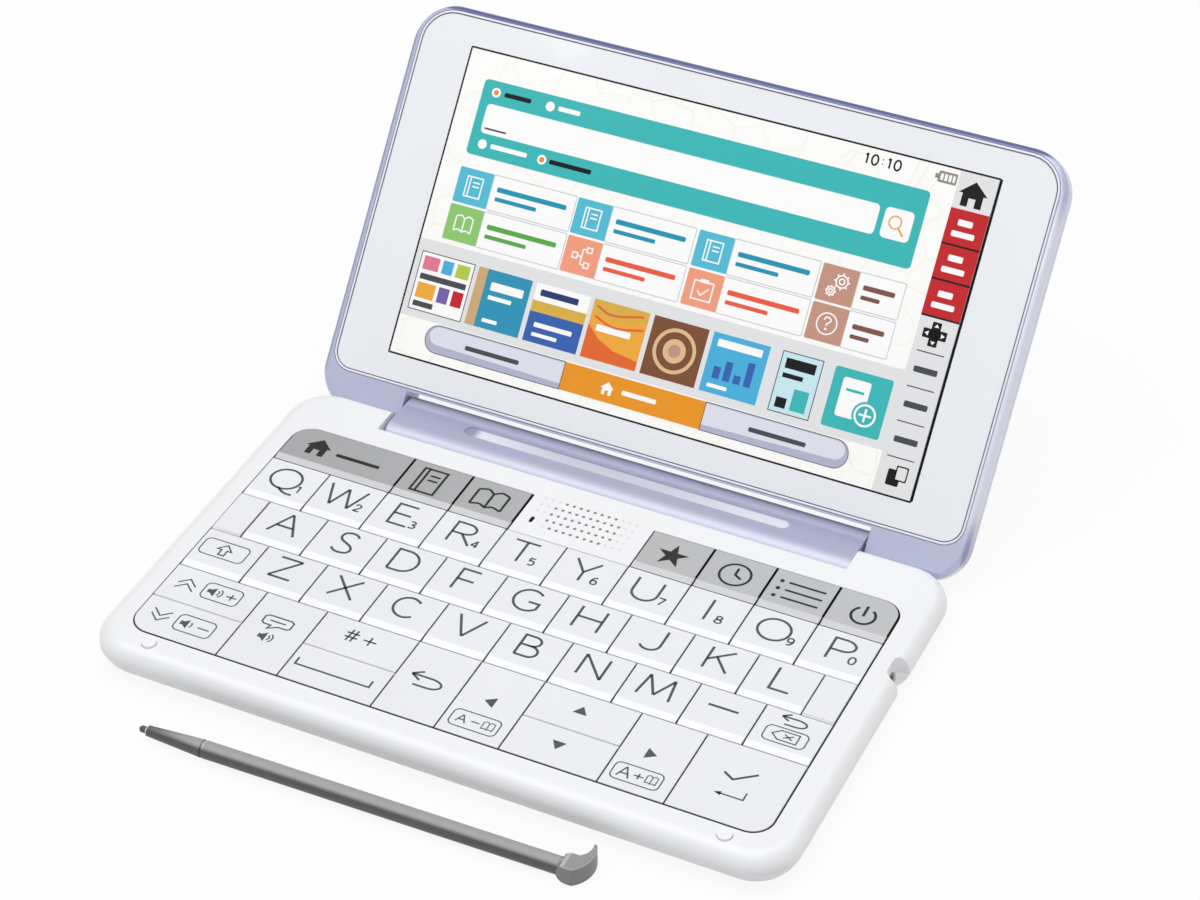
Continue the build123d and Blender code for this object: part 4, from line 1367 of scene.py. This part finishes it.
@dataclass
class Keyboard:
    """All key caps with their printed marks.

    Each letter row has its letters, the front and back of their box, and their shift from the cap's middle.
    """

    pen: float = 0.57
    digit_pen: float = 0.4
    pill_corner: float = 1.2
    stretch: float = 1.02
    lift: float = 0.012
    rows: tuple[tuple[str, float, float, float], ...] = (
        (TOP_ROW, 11.0, 17.4, -0.6),
        (HOME_ROW, -1.9, 4.5, -0.1),
        (LOWER_ROW, -14.1, -8.1, -0.3),
    )
    nudges: dict[str, float] = field(
        default_factory=lambda: {"R": 0.2, "T": -0.2, "U": 0.1, "O": 0.3, "P": 0.9, "K": 0.6, "L": 0.5}
    )
    digit_shifts: tuple[float, ...] = (3.5, 3.7, 2.7, 3.3, 2.4, 2.6, 3.6, 2.4, 4.0, 3.3)
    digit_base: float = 11.1
    digit_height: float = 2.1

    def dress(self) -> None:
        """Smooths all caps, then prints their marks."""
        for node in [*(f"key_{letter.lower()}" for row in self.rows for letter in row[0]), *KEY_MARKS]:
            polished(node, node, KEY_WHITE)
        for node in SILVER_MARKS:
            polished(node, node, KEY_SILVER)
        for letters, low, high, shift in self.rows:
            for letter in letters:
                self.print_letter(f"key_{letter.lower()}", letter, low, high, shift)
        for node, marks in KEY_MARKS.items():
            self.print_marks(node, marks, KEY_INK)
        for node, marks in SILVER_MARKS.items():
            self.print_marks(node, marks, BLACK_INK)

    def sheet(self, node: str, x: float, y: float) -> Ink:
        """An empty sheet of ink on the top face of a cap, with its corner at (x, y)."""
        return Ink(Plate((x, y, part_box(node)[1].z / MM)), self.lift)

    def print_letter(self, node: str, letter: str, low: float, high: float, shift: float) -> None:
        """Prints a letter, and its digit on the top row.

        Args:
            node: The key cap.
            letter: The letter.
            low, high: Its front and back in millimetres.
            shift: How far its middle lies from the middle of the cap.
        """
        first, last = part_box(node)
        middle = (first.x + last.x) / 2 / MM
        width = GLYPH_WIDTHS[letter] * (high - low) * self.stretch
        start = middle + shift + self.nudges.get(letter, 0.0) - width / 2
        ink = self.sheet(node, 0, 0)
        ink.draw(GLYPHS[letter], start, low, width, high - low, self.pen)
        place = TOP_ROW.find(letter)
        if place >= 0:
            digit = str((place + 1) % 10)
            width = GLYPH_WIDTHS[digit] * self.digit_height
            start = middle + self.digit_shifts[place] - width / 2
            ink.draw(GLYPHS[digit], start, self.digit_base, width, self.digit_height, self.digit_pen)
        ink.piece(f"legend_{node}", node, KEY_INK)

    def print_marks(self, node: str, marks: list[tuple], finish: Finish) -> None:
        """Prints the signs of one cap.

        Args:
            node: The key cap.
            marks: Artwork, box and pen of each sign.
            finish: The finish of the ink.
        """
        ink = self.sheet(node, *DECK_CORNER)
        for art, x0, y0, x1, y1, pen in marks:
            if art == PILL:
                ink.stroke(between(x0, y0, x1, y1, self.pill_corner), pen, True)
            else:
                ink.draw(art, x0, y0, x1 - x0, y1 - y0, pen)
        ink.piece(f"legend_{node}", node, finish)


# ---------------------------------------------------------------- lid and spine


def lid_plate(x: float, along: float, out: float) -> Plate:
    """A plate in the open lid. Its corner is at x, so far up along the lid from its hinge and out of it."""
    start = np.array(HINGE) + along * np.array(LID_UP) + out * np.array(LID_OUT)
    return Plate((x, *start[1:].tolist()), X, LID_UP)


def bead(plate: Plate, outline: np.ndarray, width: float, height: float, steps: int = 7) -> Solid:
    """A raised rib carried round a closed outline.

    Args:
        plate: The plate that it lies on.
        outline: Its middle line, anticlockwise.
        width: Its width in millimetres.
        height: Its height in millimetres.
        steps: Points across it.

    Returns:
        The rib: each point of the outline moves sideways by the cosine and outwards by the sine of a half turn.
    """
    before = outline - np.roll(outline, 1, axis=0)
    after = np.roll(before, -1, axis=0)
    along = before / np.linalg.norm(before, axis=1, keepdims=True)
    along += after / np.linalg.norm(after, axis=1, keepdims=True)
    along /= np.linalg.norm(along, axis=1, keepdims=True)
    side = np.stack([along[:, 1], -along[:, 0]], axis=1) * (0.5 * width)
    turns = np.linspace(0, math.pi, steps)
    rows = [plate.at(outline + side * math.cos(turn), height * math.sin(turn)) for turn in turns]
    solid = Solid()
    solid.grid(np.array(rows)[::-1], around=True)
    return solid


@dataclass
class Lid:
    """Back shell, frame, glass and the trim between them. A seam is so far outside the glass and so wide."""

    glass_half: float = 73.2
    glass_low: float = 4.95
    glass_high: float = 86.2
    trim_out: float = 3.65
    top_corner: float = 7.0
    foot_corner: float = 4.0
    trim_width: float = 0.45
    trim_height: float = 0.12
    trim_grow: float = 0.3
    seams: tuple[tuple[float, float], ...] = ((-0.04, 0.2), (0.62, 0.12))
    seam_lift: float = 0.004

    def outline(self, grow: float) -> np.ndarray:
        """Outline of the glass: four quarter circles, larger at the top than at the foot.

        Args:
            grow: How far outside the glass it runs.

        Returns:
            The points of the outline, anticlockwise.
        """
        high, low = self.glass_high - self.top_corner, self.glass_low + self.foot_corner
        top, foot = (high, self.top_corner), (low, self.foot_corner)
        quarters = []
        for side, start, (y, corner) in ((1, 0, top), (-1, 90, top), (-1, 180, foot), (1, 270, foot)):
            x, radius = side * (self.glass_half - corner), corner + grow
            quarters.append(arc(x, y, radius, radius, start, start + 90))
        return np.concatenate(quarters)

    def dress(self) -> None:
        """Dresses the shells, the glass and the trim."""
        polished("lid_cover", "lid", LID_LAVENDER)
        polished("lid_frame", "lid", LID_LAVENDER)
        finished("display_glass", GLASS_BORDER)
        finished("display_module", PANEL_STEEL)
        plate = lid_plate(0, 0, self.trim_out)
        seam = Ink(plate, self.seam_lift)
        for grow, width in self.seams:
            seam.stroke(self.outline(grow), width, True)
        seam.piece("glass_seam", "lid", DARK_LINE)
        rib = bead(plate, self.outline(self.trim_grow), self.trim_width, self.trim_height)
        rib.piece("glass_trim", "lid", PALE_TRIM, smooth=True)


@dataclass
class Spine:
    """The bar that joins case and lid, with its hinge barrels."""

    def dress(self) -> None:
        """Dresses the bar and the barrels."""
        polished("spine_cover", "spine", SPINE_LAVENDER)
        finished("hinge_units", HINGE_STEEL)


# ---------------------------------------------------------------- display

COLORS = {
    "black": (10, 10, 12), "teal": (58, 184, 184), "white": (254, 254, 254), "orange": (240, 140, 50),
    "cyan": (82, 189, 214), "brown": (197, 148, 128), "green": (142, 201, 110), "salmon": (243, 158, 127),
    "blue_text": (24, 150, 180), "brown_text": (128, 84, 70), "green_text": (90, 170, 70),
    "red_text": (236, 92, 62), "grey": (200, 202, 206), "shelf": (228, 229, 231), "blue": (52, 98, 176),
    "navy": (38, 58, 112), "tan": (206, 170, 120), "gold": (218, 176, 72), "amber": (240, 170, 60),
    "flame": (228, 104, 44), "umber": (126, 78, 50), "straw": (222, 190, 140), "sky": (72, 176, 222),
    "pale_cyan": (200, 234, 240), "red": (196, 32, 40), "dark": (72, 74, 78), "battery": (150, 142, 132),
    "lake": (44, 148, 184), "tab": (224, 225, 236), "tab_edge": (180, 182, 206), "pink": (226, 120, 150),
    "lime": (176, 206, 70), "key_orange": (236, 150, 30), "violet": (120, 96, 170),
}

# The picture as one table for each region. A row has the colour, layer and pen of a sheet, and its artwork in
# millimetres from the picture's lower left corner. Higher layers lie over lower ones.
SCREEN_ART = {
    "search": """
teal 1 0 | #4.9,46,108.4,62.75,1
white 2 0 | #6.9,51.1,98.7,57.6,1; #100,51.1,106.4,57.6,1
dark 3 0 | #7.7,52.0,12.9,52.4,0
white 3 0 | #8.2,60.25,1.05,1.05,0,345; #21.25,60.25,1.05,1.05,0,345; #8.2,48.7,1.05,1.05,0,345;
  #22.6,48.7,1.05,1.05,0,345
orange 4 0 | #8.2,60.25,.6,.6,0,345; #22.6,48.7,.6,.6,0,345
amber 4 0 | #102.7,54.7,1.5,1.5,0,345
white 5 0 | #102.7,54.7,1.15,1.15,0,345
black 3 0 | #10.2,59.75,16.6,60.75,.3; #24.4,48.2,34.4,49.2,.3
white 4 0 | #23.2,59.75,28.4,60.75,.3; #10.2,48.2,19,49.2,.3
shelf 1 0 | #0,8.5,113.3,25.75,0; #113.3,0,121.8,68.5,0
amber 5 0.42 | 103.7,53.6 105,52.2
""",
    "shelf": """
white 2 0 | #1.4,10.2,14.2,23,0; #29.3,10.2,42.1,23,0
pink 3 0 | #2.2,19.2,6,22.2,0
sky 3 0 | #6.8,19.2,9.4,22.2,0
lime 3 0 | #10.2,19.2,13.4,22.2,0
dark 3 0 | #2.2,17,13.4,18.3,0; #2.2,11,7,12.2,0
amber 3 0 | #2.2,12.9,6.6,16.3,0
violet 3 0 | #7.4,12.9,10,16.3,0
red 3 0 | #10.8,12.9,13.4,16.3,0
lake 2 0 | #15.25,10.2,28.2,23,0
tan 3 0 | #15.25,10.2,17.5,23,0
white 3 0 | #19,18.6,26.8,20.4,.2; #19,16.6,24.6,17.5,.2; #19,11.6,22.6,12.4,.2; #72.4,20.2,82.6,21.8,.2;
  #72.4,11.4,77,12.2,.2; #101.1,12.9,107.3,21.2,.6
gold 3 0 | #29.3,16.8,42.1,19.2,0; #43.1,23 43.1,20.6 48,19.2 56.1,20.8 56.1,23
blue 3 0 | #29.3,10.2,42.1,16.8,0; #73,13.4,74.6,16,0; #75.4,13.4,77,17.6,0; #77.8,13.4,79.4,15.2,0;
  #80.2,13.4,81.8,18.6,0
navy 4 0 | #30.6,20.4,39.6,21.8,.2
white 4 0 | #31,13.6,40,14.6,.2; #31,11.6,37,12.4,.2; #45,16.4,53,17.8,.2
amber 2 0 | #43.1,10.2,56.1,23,0
flame 3 0 | #43.1,10.2 43.1,17.5 46,14.9 50,13.1 56.1,12.2 56.1,10.2
umber 2 0 | #57.2,10.2,69.9,23,0
straw 3 0 | #63.5,16.6,4.9,4.9,0,348
umber 4 0 | #63.5,16.6,4.1,4.1,0,348
straw 5 0 | #63.5,16.6,2.6,2.6,0,348
brown 6 0 | #63.5,16.6,1.4,1.4,0,348
sky 2 0 | #71,10.2,84,23,0
pale_cyan 2 0 | #86.9,10.2,96,23,0
black 3 0 | #88,19.6,94.8,21.8,0; #88,17.6,92.6,18.6,0; #88,11.2,90.4,13.4,0
teal 3 0 | #91.4,11.2,94.8,15.8,0
teal 2 0 | #98.8,10.2,111.75,23,.6
teal 4 0 | #102.2,18.4,106.2,19,0; #107.6,14.4,2.9,2.9,0,345
dark 3 0.2 | o1.4,10.2,14.2,23,0; o86.9,10.2,96,23,0
white 5 0.45 | o107.6,14.4,2.2,2.2,0,345; 107.6,13 107.6,15.8; 106.2,14.4 109,14.4
flame 4 0.5 | ~44,21.6 48,20.4 55,21.8; ~44,19.4 49,17.9 55.6,19
""",
    "foot": """
tab_edge 2 0 | #40.4,2.1 40.4,8.2 10.3,5.15,3,3.05,90,270; #73.5,8.2 73.5,2.1 103.5,5.15,3,3.05,-90,90
tab 3 0 | #40.4,3.3 40.4,7.9 10.4,5.9,2.2,2,90,270; #73.5,7.9 73.5,3.3 103.4,5.9,2.2,2,-90,90
key_orange 2 0 | #40.4,2.1,73.5,8.2,0
dark 4 0 | #17,4.6,30,5.6,.3; #84,4.6,97,5.6,.3
white 4 0 | #54.6,4.6,62.6,5.6,.3
dark 5 0.16 | o40.4,2.1 40.4,8.2 10.3,5.15,3,3.05,90,270; o73.5,8.2 73.5,2.1 103.5,5.15,3,3.05,-90,90
""",
    "column": """
battery 2 0 | #108.9,65.1,113,67.5,.3; #108.2,65.8,108.9,66.8,0
white 3 0 | #109.4,65.6,110,67,0; #110.3,65.6,110.9,67,0; #111.2,65.6,111.8,67,0; #112.1,65.6,112.6,67,0;
  #115.6,57.4,118.8,58.7,.3; #114.8,55,119.8,56.2,.3; #115.6,49.9,118.8,51.2,.3; #114.8,47.4,119.8,48.6,.3;
  #115.6,42.2,118.8,43.5,.3; #114.8,39.8,119.8,41,.3
black 1 0 | #121.7,0,122.4,68.7,0
red 2 0 | #113.3,38.1,121.75,60.75,0
black 3 0 | #113.3,53.0,121.75,53.4,0; #113.3,45.5,121.75,45.9,0; #113.3,37.7,121.75,38.1,0;
  #116.3,31.8,118.3,37,.2; #114.7,33.4,119.9,35.4,.2; #115.6,2,118.4,5.4,.3; #117.2,3.2,119.9,6.4,.3
white 4 0 | #116.8,35.9 117.3,36.6 117.8,35.9; #116.8,32.9 117.3,32.2 117.8,32.9;
  #115.9,33.9 115.1,34.4 115.9,34.9; #118.7,33.9 119.5,34.4 118.7,34.9
dark 2 0 | #114.5,30.35,120.5,30.6,0; #114.5,22.75,120.5,23,0; #114.5,15.3,120.5,15.55,0; #114.5,7.8,120.5,8.05,0;
  #114.9,26.0,120.1,27.3,.3; #114.9,18.5,120.1,19.8,.3; #114.9,11.0,120.1,12.3,.3
shelf 4 0 | #117.5,3.5,119.6,6.1,.2
""",
}
# The two rows of tiles: their front and back, and each tile's colour, the colour of its text and its icon.
BLUE, BROWN = ("cyan", "blue_text"), ("brown", "brown_text")
GREEN, RED = ("green", "green_text"), ("salmon", "red_text")
TILE_ROWS = (
    (35.2, 43.0, ((*BLUE, BOOK), (*BLUE, BOOK), (*BLUE, BOOK), (*BROWN, GEARS))),
    (26.8, 34.7, ((*GREEN, OPEN_BOOK), (*RED, BRANCHES), (*RED, CLIPBOARD), (*BROWN, QUERY))),
)


@dataclass
class Display:
    """The picture that the lit display shows, all of it plain shapes.

    Each bar on a tile's label has its low and high side from the label's middle, its share of the label's
    width, and its corner radius.
    """

    width: float = 121.8
    height: float = 68.5
    low: float = 11.22
    out: float = 3.6
    ground: float = 0.012
    layer: float = 0.008
    border: float = 0.4
    tile_starts: tuple[float, ...] = (4.8, 33.3, 61.8, 90.2)
    tile_ends: tuple[float, ...] = (32.9, 61.1, 89.6, 108.7)
    tile_line: float = 0.2
    icon_width: float = 8.2
    icon_margins: tuple[float, float] = (1.9, 1.7)
    icon_pen: float = 0.3
    tile_corner: float = 0.3
    text_start: float = 1.4
    text_margin: float = 3.2
    text_bars: tuple[tuple[float, float, float, float], ...] = ((0.35, 1.45, 1.0, 0.35), (-1.65, -0.75, 0.6, 0.3))
    home: tuple[float, ...] = (114.0, 61.5, 6.3, 5.4)
    home_tab: tuple[float, ...] = (49.6, 3.7, 3.1, 2.8)
    clock: tuple[float, ...] = (92.6, 65.2, 2.1, 0.4)
    sheets: dict[tuple[str, int], Ink] = field(default_factory=dict)

    def ink(self, color: str, layer: int) -> Ink:
        """The sheet of ink of a colour and layer.

        Args:
            color: Name of the colour.
            layer: How many layers it lies above the ground.

        Returns:
            The sheet, the same one each time.
        """
        key = (color, layer)
        if key not in self.sheets:
            self.sheets[key] = self.sheet(self.ground + layer * self.layer)
        return self.sheets[key]

    def sheet(self, lift: float) -> Ink:
        """An empty sheet of ink over the glass, with its corner at the picture's lower left."""
        return Ink(lid_plate(-self.width / 2, self.low, self.out), lift)

    def tile(self, place: tuple[float, float, float, float], color: str, text: str, icon: str) -> None:
        """Draws a coloured square with a line icon, and a white label with two bars beside it.

        Args:
            place: Left, low, right and high side of both together.
            color: Colour of the square.
            text: Colour of the bars.
            icon: Artwork of the icon.
        """
        start, low, end, high = place
        split, middle = start + self.icon_width, (low + high) / 2
        self.ink("white", 2).fill(between(split, low, end, high))
        self.ink("grey", 3).stroke(between(split, low, end, high, self.tile_corner), self.tile_line, True)
        self.ink(color, 3).fill(between(start, low, split, high, self.tile_corner))
        across, up = self.icon_margins
        box = (start + across, low + up, self.icon_width - 2 * across, high - low - 2 * up)
        self.ink("white", 4).draw(icon, *box, self.icon_pen)
        left, room = split + self.text_start, end - split - self.text_margin
        for foot, head, share, corner in self.text_bars:
            bar = between(left, middle + foot, left + room * share, middle + head, corner)
            self.ink(text, 3).fill(bar)

    def region(self, table: str) -> None:
        """Draws one region of the picture. In its table an indented line goes on with its row.

        Args:
            table: Its rows.
        """
        for row in table.replace("\n  ", " ").strip().splitlines():
            head, art = row.split(" | ")
            color, layer, pen = head.split()
            self.ink(color, int(layer)).draw(art, 0, 0, 1, 1, float(pen))

    def dress(self) -> None:
        """Lays the picture on the glass, colour by colour."""
        ground = self.sheet(self.ground)
        ground.fill(between(0, 0, self.width, self.height))
        ground.piece("screen_ground", "lid", Wallpaper("screen_ground", (254, 254, 252)))
        for region, table in SCREEN_ART.items():
            self.region(table)
            log.info("display: %s", region)
        for low, high, row in TILE_ROWS:
            for start, end, look in zip(self.tile_starts, self.tile_ends, row):
                self.tile((start, low, end, high), *look)
        self.ink("black", 2).draw(HOUSE, *self.home, 0)
        self.ink("white", 4).draw(HOUSE, *self.home_tab, 0)
        self.ink("black", 3).word("10:10", *self.clock)
        half = self.border / 2
        edge = between(-half, -half, self.width + half, self.height + half, half)
        self.ink("black", 1).stroke(edge, self.border, True)
        for (color, layer), ink in self.sheets.items():
            ink.piece(f"screen_{color}_{layer}", "lid", Pixels(f"screen_{color}", COLORS[color]))


# ---------------------------------------------------------------- stylus


@dataclass
class Stylus:
    """The loose pen in front of the case."""

    def dress(self) -> None:
        """Gives the pen a smooth skin."""
        polished("stylus", "stylus", STYLUS_GREY)


# ---------------------------------------------------------------- studio


@dataclass
class Studio:
    """Pale floor, white air, soft lamps and the camera. The camera's place is in millimetres."""

    eye: Point = (231.17, -442.86, 449.69)
    right: Point = (0.90231, 0.43104, -0.00584)
    above: Point = (-0.26545, 0.56624, 0.78033)
    behind: Point = (0.33966, -0.70255, 0.62535)
    lens: float = 98.79
    air: float = 0.4
    reach: float = 6.0
    floor_glow: float = 0.9
    papers: Span = (0.86, 0.88)
    lamps: tuple[tuple[str, Point, float, float], ...] = (
        ("key_lamp", (-0.5, -0.35, 1.1), 0.7, 3.2),
        ("back_lamp", (0.5, 0.6, 1.0), 0.7, 2.4),
        ("top_lamp", (0.0, 0.1, 1.3), 0.8, 3.2),
        ("front_lamp", (0.15, -0.6, 1.2), 0.9, 4.3),
    )

    def floor(self) -> None:
        """Lays a sheet that the camera, mirrors and glass see as white, but for the share that is lit."""
        shader = Shader("floor")
        kinds = ("Camera", "Glossy", "Transmission")
        rays = [shader.node("ShaderNodeLightPath", {}, {}, f"Is {kind} Ray") for kind in kinds]
        dark, light = ((paper, paper, paper, 1.0) for paper in self.papers)
        tooth = shader.blend(shader.noise(40.0), dark, light)
        paper = shader.node("ShaderNodeBsdfPrincipled", {}, {"Base Color": tooth, "Roughness": 0.9})
        glow = shader.node("ShaderNodeEmission", {}, {"Color": WHITE, "Strength": 1.0})
        share = (rays[0] + rays[1] + rays[2]) * self.floor_glow
        both = shader.node("ShaderNodeMixShader", {}, {0: share, 1: paper, 2: glow})
        mesh = bpy.data.meshes.new("floor")
        corners = [(x * self.reach, y * self.reach, 0.0) for x, y in ((-1, -1), (1, -1), (1, 1), (-1, 1))]
        mesh.from_pydata(corners, [], [range(len(corners))])
        mesh.materials.append(shader.ended(both))
        thing = bpy.data.objects.new("floor", mesh)
        bpy.context.scene.collection.objects.link(thing)

    def world(self) -> None:
        """Fills the air with white light, dimmer for all but the camera."""
        world = bpy.data.worlds.new("studio_air")
        world.use_nodes = True
        bpy.context.scene.world = world
        tree = world.node_tree
        shown = tree.nodes.new("ShaderNodeLightPath")
        strength = tree.nodes.new("ShaderNodeMapRange")
        strength.inputs["To Min"].default_value = self.air
        back = tree.nodes["Background"]
        back.inputs["Color"].default_value = WHITE
        tree.links.new(shown.outputs["Is Camera Ray"], strength.inputs["Value"])
        tree.links.new(strength.outputs[0], back.inputs["Strength"])

    def lamp(self, name: str, place: Point, size: float, power: float) -> None:
        """Hangs a square lamp that faces the origin.

        Args:
            name: Name of the lamp.
            place: Where it hangs, in metres.
            size: Its side in metres.
            power: Its power in watts.
        """
        lamp = bpy.data.lights.new(name, "AREA")
        lamp.shape = "SQUARE"
        lamp.size = size
        lamp.energy = power
        thing = bpy.data.objects.new(name, lamp)
        thing.location = place
        thing.rotation_euler = (-Vector(place)).to_track_quat("-Z", "Y").to_euler()
        bpy.context.scene.collection.objects.link(thing)

    def camera(self) -> None:
        """Puts up the camera, whose axes are the three directions of the studio."""
        camera = bpy.data.cameras.new("camera")
        camera.sensor_fit = "HORIZONTAL"
        camera.sensor_width = 36.0
        camera.lens = self.lens
        camera.clip_start = 0.01
        thing = bpy.data.objects.new("camera", camera)
        turn = Matrix((self.right, self.above, self.behind)).transposed().to_4x4()
        thing.matrix_world = Matrix.Translation(Vector(self.eye) * MM) @ turn
        bpy.context.scene.collection.objects.link(thing)
        bpy.context.scene.camera = thing

    def build(self) -> None:
        """Puts up the stage, the lamps and the camera."""
        bpy.context.scene.view_settings.view_transform = "Standard"
        self.floor()
        self.world()
        for lamp in self.lamps:
            self.lamp(*lamp)
        self.camera()


def main() -> None:
    """Dresses the dictionary from the table up and puts up the studio."""
    logging.basicConfig(level=logging.INFO, format="%(message)s")
    for assembly in (Base(), Grille(), Keyboard(), Spine(), Lid(), Display(), Stylus()):
        log.info("%s", type(assembly).__name__)
        assembly.dress()
    Studio().build()


if __name__ == "__main__":
    main()
